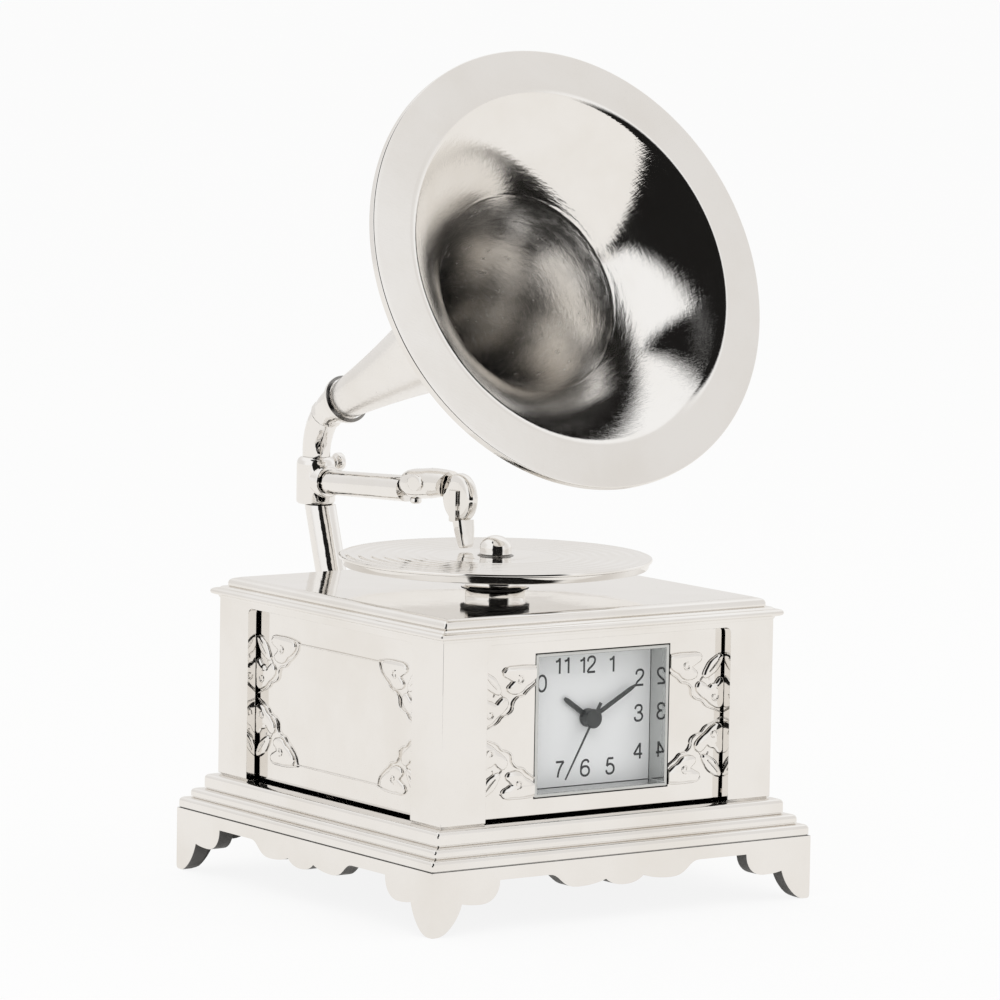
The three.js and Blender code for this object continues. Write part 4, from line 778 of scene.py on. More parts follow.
def floor_finish(settings):
    """Pale floor with its shadow, which metal shows white near the object and dark near the room."""
    pale = tinted(settings.floor_colour, [c * 0.985 for c in settings.floor_colour], 3)
    material = new_finish("floor", pale, speckled(0.7, 0.8, 20))
    mixer = Mixer(material.node_tree)
    nodes, links = mixer.tree.nodes, mixer.tree.links
    x, y, _ = mixer.split(mixer.place(spot=(0, SHIFT / 1000, 0)))
    away = x * -0.27 + y * -0.96
    room = mixer.ramp(away, settings.room_start, settings.room_start + 0.03)
    room = room * mixer.band(around(x, y), -66.0, -58.0, 12.0, 25.0) * mixer.ray(GLOSSY_RAY)
    seen = compute("MAXIMUM", mixer.ray(CAMERA_RAY), mixer.ray(GLOSSY_RAY))
    seen = compute("MAXIMUM", seen, mixer.ray(TRANSMISSION_RAY)) * settings.floor_glow
    white = drifting(mixer, mixer.ray(GLOSSY_RAY), (1, 1, 1), settings.floor_reflection)
    glow = mixer.node("Emission", Color=mixer.mixed(room, white, (*settings.room_colour, 1)), Strength=1.0)
    mix = nodes.new("ShaderNodeMixShader")
    feed(mix.inputs[0], compute("MAXIMUM", seen, room))
    links.new(nodes["Principled BSDF"].outputs[0], mix.inputs[1])
    links.new(glow.socket, mix.inputs[2])
    links.new(mix.outputs[0], nodes["Material Output"].inputs[0])
    return material


def soft_lamp(name, spot, power, size=0.6, aim=(0, 0, 0.04)):
    """A large soft lamp that polished metal doesn't show."""
    deselect()
    bpy.ops.object.light_add(type="AREA", location=spot)
    lamp = bpy.context.object
    lamp.name = name
    lamp.data.size = size
    lamp.data.energy = power
    lamp.visible_glossy = False
    lamp.rotation_euler = (Vector(spot) - Vector(aim)).to_track_quat("Z", "Y").to_euler()


def camera_place(settings):
    """The camera's matrix, from its angles around the point it looks at."""
    a, e, roll = settings.azimuth, settings.elevation, settings.roll
    back = Vector((math.sin(a) * math.cos(e), -math.cos(a) * math.cos(e), math.sin(e)))
    right = Vector((math.cos(a), math.sin(a), 0))
    up = back.cross(right)
    aside, above_floor = 0.00038676, 0.04292024
    aim = right * aside + Vector((0, SHIFT / 1000, above_floor))
    tilted = math.cos(roll) * right + math.sin(roll) * up
    top = -math.sin(roll) * right + math.cos(roll) * up
    turn = Matrix((tilted, top, back)).transposed().to_4x4()
    return Matrix.Translation(aim + back * settings.distance) @ turn


class CLOCK_OT_stage(bpy.types.Operator):
    """Set the camera, the pale floor, the surroundings and the soft lamps."""

    bl_idname = "clock.stage"
    bl_label = "Stage"

    def execute(self, context):
        settings = context.scene.clock_stage
        deselect()
        radius, outer_band = 6, 4.5
        bpy.ops.mesh.primitive_circle_add(vertices=96, radius=radius, fill_type="NGON")
        floor = bpy.context.object
        floor.name = "floor"
        edit(floor)
        bpy.ops.mesh.inset(thickness=outer_band)
        bpy.ops.object.mode_set(mode="OBJECT")
        floor.data.materials.append(floor_finish(settings))
        context.scene.world = bpy.data.worlds.new("surroundings")
        sky(context.scene.world, settings)
        soft_lamp("lamp_key", (-0.35, -0.45, 0.75), settings.lamp_power)
        soft_lamp("lamp_fill", (0.6, -0.3, 0.5), settings.lamp_power * 0.4)
        deselect()
        bpy.ops.object.camera_add()
        camera = bpy.context.object
        camera.name = "camera"
        camera.data.lens = settings.lens
        camera.data.sensor_width = 36
        camera.data.clip_start = 0.01
        camera.data.clip_end = 50
        camera.matrix_world = camera_place(settings)
        context.scene.camera = camera
        context.scene.view_settings.view_transform = "Standard"
        return {"FINISHED"}


# Feet, case and panels

def skirt_outline():
    """The scalloped lower edge of the foot skirt and its straight top, as [x, z] points."""
    soffit, cusp, lobe, corner_end, notch, flat = 5.6, 2.5, 3.75, 6.4, 21.35, 24.5
    ogee, corner_bottom = cusp + 2 * lobe + corner_end + 0.05, soffit - 2.45
    half = [(0, soffit - 1.85)]
    for line in (
        [(cusp * 0.66, soffit - 1.85), (cusp, soffit - 1.05)],
        [(cusp + lobe * 0.4, soffit - 1.6), (cusp + lobe, soffit - 1.6)],
        [(cusp + lobe * 1.6, soffit - 1.6), (cusp + lobe * 1.6, soffit), (cusp + 2 * lobe, soffit)],
        [(ogee, soffit)],
        [(ogee, soffit - 1.47), (ogee + 0.98, corner_bottom), (ogee + 2.45, corner_bottom)],
        [(notch - 0.98, corner_bottom), (notch, soffit - 2.2)],
        [(notch + 0.45, 1.8), (flat - 1.3, 0.15), (flat, 0)],
        [(flat + 0.5, 0)],
        [(flat + 0.8, 0), (SKIRT, 0.3), (SKIRT, 0.85)],
        [(SKIRT, SKIRT_TOP)],
    ):
        half += bezier([half[-1], *line], 9 if len(line) > 1 else 1)
    return half + [(-x, z) for x, z in reversed(half[1:])]


def slotted_screw(name, node, place, turn, radius=1.1, height=SCREW_HEAD):
    """A slotted screw with a short stem below its head."""
    profile = [(radius * 0.45, -1.8), (radius * 0.45, 0), (radius, 0), (radius, height * 0.55)]
    profile += [(radius * 0.92, height * 0.8), (radius * 0.7, height * 0.97), (radius * 0.4, height)]
    slot = block((-radius * 1.2, -0.13, height * 0.5), (radius * 1.2, 0.13, height * 2))
    screw = carve(raised("round", profile, 32), slot)
    finish(move(screw, place, turn), name, node, look="steel", slot="steel", smooth=32)


class CLOCK_OT_base(bpy.types.Operator):
    """Model the scalloped foot skirt, the stepped base moulding and the underside."""

    bl_idname = "clock.base"
    bl_label = "Feet and base"

    def execute(self, context):
        inside, past = SKIRT - 1.85, SKIRT + 2
        wall = [(SKIRT, 0), (SKIRT, SKIRT_TOP), (inside, SKIRT_TOP), (inside, 0), (SKIRT, 0)]
        skirt = carve_twice(raised("square", wall), slab(skirt_outline(), -past, past), "INTERSECT")
        move(soften(skirt, 0.16, 3, 40), (0, SHIFT, 0))
        finish(skirt, "scalloped_skirt", "foot_skirt")
        # The skirt's inner faces get painted shade, a dull dark grey for the shade under the base
        lined(skirt, "painted_shade", lambda spot, _: max(abs(spot.x), abs(spot.y - SHIFT)) < SKIRT - 0.2)

        nose, opening, top_reach = 0.45, 16.5, 22.4
        steps = [(opening, SKIRT_TOP)]
        for reach, start, end in ((25.2, SKIRT_TOP, 8.3), (24.25, 8.3, 9.35), (23.15, 9.35, MOULDING_TOP)):
            steps += offsets(reach, start, (-0.14, 0), (-0.14, 0.06), (0, 0.13))
            steps += arc((reach - nose, end - 0.08 - nose), nose, 0, 90, 6)
        steps += [(top_reach, MOULDING_TOP), (opening, MOULDING_TOP), (opening, SKIRT_TOP)]
        finish(moulded(steps), "stepped_moulding", "base_moulding", smooth=28)

        border, recess = 1.2, 0.12
        cover = block(low("base_cover"), high("base_cover"))
        edit_faces(cover, lambda _, normal: normal.z < -0.9)
        bpy.ops.mesh.inset(thickness=border)
        bpy.ops.mesh.extrude_region_move(TRANSFORM_OT_translate={"value": (0, 0, recess)})
        finish(
            soften(cover, 0.08), "underside_cover", "base_cover",
            look="black_plastic", slot="black_plastic", smooth=32)
        for index in range(1, 5):
            node = f"base_screw_{index}"
            x, y, _ = middle(node)
            place = (x, y, low(node).z + SCREW_HEAD)
            slotted_screw(f"slotted_screw_{index}", node, place, (180, 0, 20 * index))
        return {"FINISHED"}


def window_outline():
    """The window of one wall, with small round upper corners."""
    corner, top, foot = 0.7, BODY_TOP - 0.6, BODY_BASE - 1
    right = arc((WINDOW - corner, top - corner), corner, 0, 90, 6)
    return [(-WINDOW, foot), (WINDOW, foot)] + right + [(-x, z) for x, z in reversed(right)]


class CLOCK_OT_case(bpy.types.Operator):
    """Model the case frame with its four posts and windows."""

    bl_idname = "clock.case"
    bl_label = "Case frame"

    def execute(self, context):
        settings = context.scene.clock_case
        inside = FRAME_IN + settings.frame_gap * 1000
        walls = offsets(BODY, BODY_BASE, (-0.2, 0), (-0.2, 0.08), (0, 0.2))
        walls += [(BODY, BODY_TOP), (inside, BODY_TOP), (inside, BODY_BASE), walls[0]]
        body = carve_twice(raised("square", walls), slab(window_outline(), -BODY - 2, BODY + 2))
        move(soften(body, settings.edge * 1000, 3), (0, SHIFT, 0))
        finish(body, "posted_case", "case_frame")
        return {"FINISHED"}


def stroke(points, line, relief):
    """A raised line of an ornament, drawn in the XZ plane, thinner at its ends."""
    radii = [0.45 + 0.55 * math.sin(math.pi * (i + 0.5) / len(points)) for i in range(len(points))]
    ridge = curve([(x, 0, z) for x, z in points], radii, line / 2)
    return move(ridge, scale=(1, 2 * relief / line, 1))


def pad(points, relief):
    """A filled, softly rounded lobe of an ornament, drawn in the XZ plane."""
    flat = [(x, z, 0) for x, z in points]
    lobe = curve(flat, [1.0] * len(flat), relief * 0.9, closed=True, smooth=5, rings=2, flat=True)
    return move(lobe, turn=(90, 0, 0))


def leaf_outline(slenderness=0.5, steps=12):
    """The pointed leaf between the two lobes of an ornament."""
    leaf = []
    for step in range(steps):
        angle = step / steps * 2 * math.pi
        width = slenderness * math.sin(angle) * (1 - 0.35 * abs(math.cos(angle)))
        along = 1.5 * math.cos(angle)
        leaf.append((1.35 + 0.72 * along - 0.69 * width, 1.2 + 0.69 * along + 0.72 * width))
    return leaf


def corner_ornament(line, relief):
    """Leaf and scrolls of one corner; x runs inwards along the top and z runs down from it."""
    top_lobe = [
        (3.2, 0.15), (4.6, -0.12), (6.2, -0.1), (7.35, 0.3), (6.7, 1.15), (5.9, 1.6), (5.2, 2.2),
        (4.3, 2.3), (3.75, 1.95), (4.1, 1.55), (4.45, 1.1), (3.95, 0.75)]
    side_lobe = [
        (0.2, 2.75), (0.1, 4.2), (0.3, 5.6), (1.25, 5.4), (2.1, 4.75), (2.9, 4.2), (3.4, 3.5),
        (3.1, 3.05), (2.55, 3.3), (2.0, 3.75), (1.5, 3.45), (0.95, 3.3)]
    outer = [
        (8.3, 0.05), (7.95, 0.9), (7.1, 1.7), (6.2, 2.3), (5.7, 2.75), (4.9, 2.95), (4.35, 3.45),
        (4.15, 4.3), (3.55, 4.75), (2.9, 4.95), (2.3, 5.55), (1.1, 6.05), (0.0, 6.5)]
    under = [(8.3, -0.15), (6.6, -0.38), (4.8, -0.4), (3.3, -0.25), (2.9, 0.1)]
    vine = [(3.2, 3.0), (2.75, 2.45), (2.45, 2.2), (2.0, 2.35), (1.75, 2.75)]
    curl_top = [(4.9, 0.55), (5.4, 0.8), (5.3, 1.3), (4.85, 1.3), (4.85, 0.95)]
    curl_side = [(0.7, 4.5), (0.95, 4.95), (1.45, 4.9), (1.5, 4.45), (1.15, 4.35)]
    rib = [(0.65, 0.5), (1.3, 1.2), (2.0, 1.85)]
    pieces = [pad(shape, relief) for shape in (top_lobe, side_lobe, leaf_outline())]
    pieces += [stroke(shape, line, relief) for shape in (outer, under)]
    pieces += [stroke(vine, line * 0.7, relief * 0.5)]
    # The curls and the rib lie on top of the lobes and the leaf
    for shape in (curl_top, curl_side, rib):
        pieces.append(move(stroke(shape, line * 0.7, relief * 0.5), (0, -relief * 0.85, 0)))
    return move(joined(*pieces), scale=(1, 1, -1))


def extent(piece):
    """The lowest x and z and the highest x and z of a piece."""
    xs = [vertex.co.x for vertex in piece.data.vertices]
    zs = [vertex.co.z for vertex in piece.data.vertices]
    return min(xs), min(zs), max(xs), max(zs)


def with_opening(panel, gap=0.1):
    """Cuts the opening for the bezel through each loose part of a panel, and joins what is left."""
    across, up = high("bezel").x + gap, high("bezel").z + gap - DIAL_Z
    hole = block((-across, -BODY - 2, DIAL_Z - up), (across, 0, DIAL_Z + up))
    left, foot, right, head = extent(hole)
    edit(panel)
    bpy.ops.mesh.separate(type="LOOSE")
    bpy.ops.object.mode_set(mode="OBJECT")
    kept = []
    for part in list(bpy.context.selected_objects):
        start, bottom, end, top = extent(part)
        inside = start > left and end < right and bottom > foot and top < head
        if not inside and start < right and end > left and bottom < head and top > foot:
            carve(part, twin(hole))
        if inside or not part.data.vertices:
            bpy.data.objects.remove(part)
        else:
            kept.append(part)
    bpy.data.objects.remove(hole)
    return joined(*kept)


class CLOCK_OT_panels(bpy.types.Operator):
    """Model the four panels with their leaf and scroll corners."""

    bl_idname = "clock.panels"
    bl_label = "Ornamented panels"

    def execute(self, context):
        settings = context.scene.clock_case
        line, relief = settings.line * 1000, settings.relief * 1000
        foot, head, half = span("panel_front")
        foot -= PANEL_DROP
        top, bottom = BODY_BASE + 16.2, BODY_BASE + 2.75
        centre = (top + bottom) / 2
        reach = WINDOW - 8.2
        corner = move(corner_ornament(line, relief), (-WINDOW, 0, top - centre))
        parts = [corner] + [move(twin(corner), scale=way) for way in ((-1, 1, 1), (1, 1, -1), (-1, 1, -1))]
        for height in (top - centre, bottom - centre):
            parts.append(stroke([(x, height) for x in (-reach, 0, reach)], line * 0.8, relief * 0.7))
        pattern = move(joined(*parts), (0, -FRAME_IN, centre))
        for index, name in enumerate(("front", "right", "back", "left")):
            plate = soften(block((-half, -FRAME_IN, foot), (half, -PANEL_IN, head)), 0.06)
            panel = joined(plate, twin(pattern))
            if name == "front":
                panel = with_opening(panel)
            move(panel, (0, SHIFT, 0), (0, 0, 90 * index))
            finish(panel, f"ornamented_panel_{name}", f"panel_{name}")
        bpy.data.objects.remove(pattern)
        return {"FINISHED"}


class CLOCK_OT_top(bpy.types.Operator):
    """Model the cornice and the top plate."""

    bl_idname = "clock.top"
    bl_label = "Cornice and top"

    def execute(self, context):
        hole, wall = 0.9, BODY - high("cornice").x
        cornice = ring("cornice", [
            (wall + 0.1, 0), (wall + 0.25, 0.28), (-0.3, 0.36), (-0.06, 0.5), (0, 0.68), (-0.05, 0.88),
            (-0.2, 1.02), (-0.5, 1.1), (-0.75, 1.12)], [(-0.95, 0)], hole)
        finish(moulded(cornice), "moulded_cornice", "cornice", smooth=28)
        top = ring("top_plate", [
            (-0.1, 0), (0, 0.12), (0, 0.45), (-0.08, 0.68), (-0.25, 0.84), (-0.5, 0.93)],
            [(-0.8, -0.06), (-1.0, 0)], hole)
        finish(moulded(top), "bright_top", "top_plate", smooth=28)
        return {"FINISHED"}


# Turntable

def record_profile(settings, foot, head, reach, count=8, label=3.9):
    """The record's edge, its ridges of a few points each, and the flat land around its raised middle."""
    land, pitch = head - settings.ridge_height * 1000, settings.ridge_pitch * 1000
    edge = offsets(reach, foot, (-0.2, 0), (-0.04, 0.06), (0, 0.18))
    edge += offsets(reach, head, (-0.05, -0.06), (-0.2, 0), (-0.4, -0.03))
    for ridge in range(settings.ridges):
        centre = reach - 0.4 - pitch * (0.6 + ridge)
        for step in range(count):
            crest = (1 + math.cos((step / count - 0.5) * 2 * math.pi)) / 2
            edge.append((centre + pitch * (0.5 - step / count), land + (head - land) * crest))
    return bored(foot, head, edge + [(label + 0.3, land), (label, head - 0.02), (label - 0.3, head)])


class CLOCK_OT_turntable(bpy.types.Operator):
    """Model the pedestal, platter, ridged record, washer and dome nut."""

    bl_idname = "clock.turntable"
    bl_label = "Turntable"

    def execute(self, context):
        foot, head, _ = span("pedestal")
        waist = 3.35
        edge = offsets(waist, foot, (0.42, 0), (0.4, 0.08), (0.14, 0.16), (0.03, 0.3), (0, 0.5))
        edge += offsets(waist, head, (0, -0.62), (0.05, -0.5), (0.2, -0.4), (0.5, -0.34), (0.5, 0))
        pedestal = finish(turned(bored(foot, head, edge)), "turned_pedestal", "pedestal", smooth=35)
        # Painted shade on the pedestal's top, under the platter, and on its foot
        lined(pedestal, "painted_shade", lambda spot, _: spot.z > head - 0.45 or spot.z < foot + 0.12)

        platter = turned(ring("platter", [
            (-1.2, 0), (-0.8, -0.08), (-0.5, -0.12), (-0.22, -0.08), (-0.12, 0.02)], [
            (0, -0.03), (-0.08, 0)]), 128)
        finish(platter, "dished_platter", "platter", body="turntable", smooth=35)
        record = turned(record_profile(context.scene.clock_turntable, *span("record")), 160)
        finish(record, "ridged_record", "record", body="turntable", look="record_plate", smooth=50)
        washer = turned(ring("record_washer", [(0.05, 0), (0.05, 0.05), (-0.08, 0.1)], [(-0.18, 0)]), 64)
        finish(washer, "thin_washer", "record_washer", body="turntable", look="shadowed_plate", smooth=35)

        foot, head, reach = span("dome_nut")
        flank = (head - foot) * 0.36
        dome = [(BORE, foot), (reach * 0.95, foot), (reach, foot + 0.08)]
        for across, up in arc((0, 0), 1, 0, 87.1, 12):
            dome.append((reach * across, foot + flank + (head - foot - flank) * up))
        finish(turned(dome, 64), "domed_nut", "dome_nut", body="turntable", look="fitting_plate")
        return {"FINISHED"}


# Bracket, tee, horn and arm

def fitting(piece, name, node, smooth=40):
    """Finishes one of the small cast fittings."""
    return finish(piece, name, node, look="fitting_plate", smooth=smooth)


def horn_place():
    """The throat of the horn, in millimetres, and the turn that points Z along its axis."""
    rest = math.pi / 2 - HORN_TILT
    y = TEE_MIDDLE - ELBOW_RADIUS + ELBOW_RADIUS * math.cos(rest) - FERRULE_RUN * math.cos(HORN_TILT)
    z = TEE_TOP + ELBOW_RUN + ELBOW_RADIUS * math.sin(rest) + FERRULE_RUN * math.sin(HORN_TILT)
    return (0, y, z), (90 - math.degrees(HORN_TILT), 0, 0)


class CLOCK_OT_bracket(bpy.types.Operator):
    """Model the bracket's plate, its screws and the bent post."""

    bl_idname = "clock.bracket"
    bl_label = "Rear bracket"

    def execute(self, context):
        node = "bracket_plate"
        foot, head, reach = span(node)
        face, end = high(node).y, (head - foot) / 2
        oval = arc((reach - end, BRACKET_Z), end, -90, 180, 12)
        oval += arc((end - reach, BRACKET_Z), end, 90, 180, 12)
        finish(soften(slab(oval, low(node).y, face), 0.25, 3, 40), "oval_plate", node)
        for index in (1, 2):
            node = f"bracket_screw_{index}"
            place = (middle(node).x, face, BRACKET_Z)
            slotted_screw(f"bracket_slotted_{index}", node, place, (-90, 25 * index, 0))

        lean, bend_radius, post_radius, forward, overrun = 18, 7.7, 1.8, 0.95, 1.8
        across, up = math.sin(math.radians(lean)), math.cos(math.radians(lean))
        upper = (TEE_BASE - BRACKET_Z - bend_radius * (1 - across)) / up
        lower = TEE_MIDDLE - forward - face - bend_radius * up - upper * across
        path = bend((face, BRACKET_Z), 0, lower, bend_radius, 90 - lean, upper + overrun, 24)
        post = carve(tube(path, lambda share: post_radius), block((-6, BODY, TEE_BASE), (6, 60, 60)))
        flange = [(2.75, 0), (2.75, 0.25), (2.6, 0.5), (2.1, 0.72), (1.7, 0.9)]
        flange = turned(flange, 48, (0, face, BRACKET_Z), (-90, 0, 0))
        fitting(joined(post, flange), "bent_post", "bracket_post")
        return {"FINISHED"}


class CLOCK_OT_tee(bpy.types.Operator):
    """Model the tee with its side screw, the elbow, the ferrule and the collar ring."""

    bl_idname = "clock.tee"
    bl_label = "Tee and elbow"

    def execute(self, context):
        barrel = raised("round", [
            (1.7, 0), (2.0, 0.05), (2.18, 0.18), (2.25, 0.4), (2.25, 4.6), (2.21, 4.9), (2.08, 5.2),
            (1.85, 5.4), (1.6, 5.48), (1.5, 5.5)], 64)
        stub = turned([(1.85, 0.3), (1.85, 2.8), (1.78, 2.9), (1.6, 2.95)], 48, (0, 0, ARM_RISE), (90, 0, 0))
        tee = soften(carve(barrel, stub, "UNION"), 0.12, 3, 50)
        fitting(move(tee, (0, TEE_MIDDLE, TEE_BASE)), "rounded_tee", "tee")
        screw = [(0.7, 0), (0.7, 0.3), (1.0, 0.36), (1.05, 0.5), (1.05, 0.95), (0.95, 1.12), (0.7, 1.2)]
        screw = turned(screw, 40, (2.37, TEE_MIDDLE, TEE_TOP - 0.8), (0, 90, 0))
        fitting(screw, "tee_side_screw", "tee_screw", 35)

        whole, elbow_share = 90 - math.degrees(HORN_TILT), 0.66
        bent = whole * elbow_share
        path = bend((TEE_MIDDLE, TEE_TOP), 90, ELBOW_RUN, ELBOW_RADIUS, bent, 0, 24)
        fitting(tube(path, lambda along: 1.6 + 0.15 * along, 32), "curved_elbow", "elbow")

        path = bend(path[-1], 90 + bent, 0, ELBOW_RADIUS, whole - bent, FERRULE_RUN, 10)
        path[0] = between(path[0], path[1], 0.12 / math.dist(path[0], path[1]))
        last, mouth = path[-2:]
        path[-1:] = [between(last, mouth, step / 6) for step in range(1, 7)]

        def swell(along):
            lip = 0.2 * math.sin(math.pi * min(1, along * 6))
            return 1.72 + lip + 0.78 * along ** 1.4 - 0.2 * (along > 0.97)
        fitting(tube(path, swell, 32), "flared_ferrule", "ferrule")

        spot, turn = horn_place()
        collar = [(2.45, 0.12), (2.7, 0.14), (2.78, 0.25), (2.8, 0.72), (2.72, 0.8), (2.45, 0.98)]
        collar.append(collar[0])
        collar = fitting(turned(collar, 64, spot, turn), "collar_band", "horn_collar")
        ahead = Vector((0, -math.cos(HORN_TILT), math.sin(HORN_TILT)))
        lined(collar, "shadowed_plate", lambda _, normal: normal.dot(ahead) > 0.4)
        return {"FINISHED"}


def horn_walls(settings, length, throat, lift, stations=34):
    """The inside and the outside of the horn's flare, as [radius, height] points."""
    bowl, wall, belly = (size * 1000 for size in (settings.bowl_radius, settings.wall, settings.belly))
    growth = math.log(bowl / throat) / length
    inside, outside = [], []
    for step in range(stations + 1):
        along = length * math.sin(step / stations * math.pi / 2)
        flare = throat * math.exp(growth * along)
        turn = math.pi * (along / length) ** 3
        radius = flare - belly * math.sin(turn)
        slope = math.atan(growth * flare - belly * math.cos(turn) * 3 * turn / max(along, 0.001))
        inside.append((radius, along + lift))
        outside.append((radius + wall * math.cos(slope), along - wall * math.sin(slope) + lift))
    outside[0] = (throat + wall, lift)
    return inside, outside


class CLOCK_OT_horn(bpy.types.Operator):
    """Model the flared horn with its bowl and broad flat rim."""

    bl_idname = "clock.horn"
    bl_label = "Horn"

    def execute(self, context):
        settings = context.scene.clock_horn
        length, throat, lift = 47.6, 1.8, 0.3
        bowl, rim = settings.bowl_radius * 1000, settings.rim_radius * 1000
        wall = settings.wall * 1000
        inside, outside = horn_walls(settings, length, throat, lift)
        top = length + lift
        back = top - 0.33
        inside = [point for point in inside if math.dist(point, (bowl, top)) > 0.45]
        inside += bezier([inside[-1], (bowl, top), (bowl + 0.5, top - 0.033)], 6)
        edge = back - settings.rolled_edge * 1000
        profile = outside[:-1] + offsets(bowl, top - wall, (0.1, 0.02), (0.6, 0.02))
        profile += offsets(rim, back - wall, (-1.1, 0.02), (-0.6, -0.08))
        profile += offsets(rim, edge, (-0.42, 0.12), (-0.32, 0), (-0.12, 0), (0, 0.14))
        profile += offsets(rim, back, (0, -0.12), (-0.04, -0.04), (-0.12, 0), (-0.6, 0.02))
        profile += [*reversed(inside), profile[0]]
        spot, turn = horn_place()
        horn = turned(profile, settings.segments, spot, turn)
        finish(horn, "flared_horn", "horn", look="horn_plate")
        return {"FINISHED"}


class CLOCK_OT_arm(bpy.types.Operator):
    """Model the tone arm, its end block, the sound box and the needle chuck."""

    bl_idname = "clock.arm"
    bl_label = "Tone arm"

    def execute(self, context):
        root, tip = high("tone_arm").y, low("tone_arm").y
        base, tilt, steps = TEE_BASE + ARM_RISE, math.radians(3), 12
        end = (tip, base + math.tan(tilt) * (root - tip))
        path = [between((root, base), end, step / steps) for step in range(steps + 1)]
        fitting(tube(path, lambda along: 1.42 + 0.08 * along, 32), "slim_arm", "tone_arm")

        box = middle("sound_box")
        rear, front = high("arm_block").y, low("arm_block").y
        _, centre, height = middle("arm_block")
        path, arch, steps = [], 0.35, 24
        for step in range(steps + 1):
            rise = arch * math.cos(step / steps * math.pi)
            path.append((rear + (front - rear) * step / steps, height - rise))

        def girth(along):
            rounding = math.sqrt(max(0.0, 1 - (1 - min(1, along / 0.25)) ** 2))
            return 1.2 + 0.5 * rounding - 0.25 * max(0, along - 0.6) / 0.4
        clear = 2.95
        room = turned([(clear, -5), (clear, 5)], 64, (0, box.y, box.z), (0, 90, 0))
        body = carve(tube(path, girth, 36), room)
        boss = raised("round", [(0.95, 0), (0.95, 0.25), (0.85, 0.36), (0.6, 0.4)], 40)
        move(boss, (-1.55, centre + 0.4, height + 0.1), (0, -90, 0), (1, 1.5, 1))
        fitting(joined(body, boss), "arm_end_block", "arm_block", 45)

        knob = [(0.4, 0), (0.62, 0.08), (0.65, 0.25), (0.65, 0.5), (0.5, 0.66), (0.3, 0.7)]
        knob = turned(knob, 32, (0, middle("block_screw").y, high("block_screw").z), (180, 0, 0))
        fitting(knob, "small_thumb_screw", "block_screw")

        disc = [
            (0.5, -0.75), (1.6, -0.75), (2.25, -0.72), (2.5, -0.62), (2.68, -0.42), (2.75, -0.15),
            (2.75, 0.3), (2.66, 0.52), (2.45, 0.68), (2.2, 0.74), (1.5, 0.75), (0.5, 0.75)]
        fitting(turned(disc, 64, (0, box.y, box.z), (0, 90, 0)), "round_sound_box", "sound_box")

        node = "needle_bar"
        thin = Vector((high(node).x - low(node).x - 0.22, 0, 0))
        bar = block(low(node) + thin, high(node) + Vector((0.1, 0, 0)))
        fitting(soften(bar, 0.07, 3), "needle_lever", node)

        foot, head, _ = span("needle_chuck")
        length = head - foot - 0.1
        profile = [(0.45, -0.05), (0.66, 0.02), (0.76, 0.16), (0.82, 0.4)]
        profile += [(1.04, length * 0.7), (1.12, length + 0.5)]
        chuck = raised("square", profile, corner=0.42)
        move(chuck, (0, box.y - 1.3, foot + 0.1), (-12, 0, 0), (1, 0.62, 1))
        fitting(chuck, "needle_holder", "needle_chuck")
        return {"FINISHED"}


# Clock

# Each hour number with its place from the middle of the dial
NUMERALS = (
    ("12", -0.1, 5.76), ("1", 3.27, 5.64), ("2", 7.03, 3.9), ("3", 6.97, 0.0), ("4", 6.99, -4.2),
    ("5", 3.25, -5.56), ("6", -0.12, -5.54), ("7", -3.5, -5.47), ("8", -7.2, -4.2), ("9", -7.25, 0.0),
    ("10", -6.65, 4.1), ("11", -3.35, 5.86),
)
# The strokes of each digit, in a box one unit high; a stroke that ends where it starts is a closed one
LOOP = [
    (0.27, 0.6), (0.44, 0.53), (0.52, 0.31), (0.44, 0.07), (0.27, 0.0), (0.1, 0.07), (0.02, 0.31),
    (0.1, 0.53), (0.27, 0.6)]
TAIL = [(0.02, 0.31), (0.04, 0.62), (0.13, 0.91), (0.29, 1.0), (0.43, 0.95), (0.48, 0.82)]
STROKES = {
    "0": [[(0.27, 1.0), (0.45, 0.86), (0.51, 0.5), (0.45, 0.14), (0.27, 0.0), (0.09, 0.14), (0.03, 0.5),
           (0.09, 0.86), (0.27, 1.0)]],
    "1": [[(0.36, 0.0), (0.36, 1.0)], [(0.36, 0.98), (0.28, 0.84), (0.12, 0.78)]],
    "2": [[(0.05, 0.7), (0.1, 0.91), (0.28, 1.0), (0.46, 0.9), (0.47, 0.66), (0.31, 0.41), (0.11, 0.2),
           (0.04, 0.02)], [(0.04, 0.02), (0.5, 0.02)]],
    "3": [[(0.05, 0.76), (0.12, 0.94), (0.27, 1.0), (0.43, 0.92), (0.44, 0.67), (0.31, 0.54), (0.2, 0.53)],
          [(0.2, 0.53), (0.37, 0.5), (0.5, 0.29), (0.42, 0.06), (0.25, 0.0), (0.09, 0.06), (0.03, 0.25)]],
    "4": [[(0.39, 0.0), (0.39, 1.0)], [(0.39, 0.98), (0.02, 0.3)], [(0.02, 0.3), (0.53, 0.3)]],
    "5": [[(0.46, 0.98), (0.13, 0.98)], [(0.13, 0.98), (0.07, 0.5)],
          [(0.07, 0.5), (0.2, 0.61), (0.4, 0.56), (0.5, 0.32), (0.42, 0.07), (0.24, 0.0), (0.09, 0.06),
           (0.03, 0.24)]],
    "6": [LOOP, TAIL],
    "7": [[(0.03, 0.98), (0.5, 0.98)], [(0.5, 0.98), (0.33, 0.7), (0.21, 0.36), (0.15, 0.0)]],
    "8": [LOOP, [(0.27, 0.6), (0.41, 0.66), (0.46, 0.8), (0.39, 0.95), (0.27, 1.0), (0.15, 0.95),
                 (0.08, 0.8), (0.13, 0.66), (0.27, 0.6)]],
    "9": [[(0.54 - x, 1 - z) for x, z in line] for line in (LOOP, TAIL)],
}


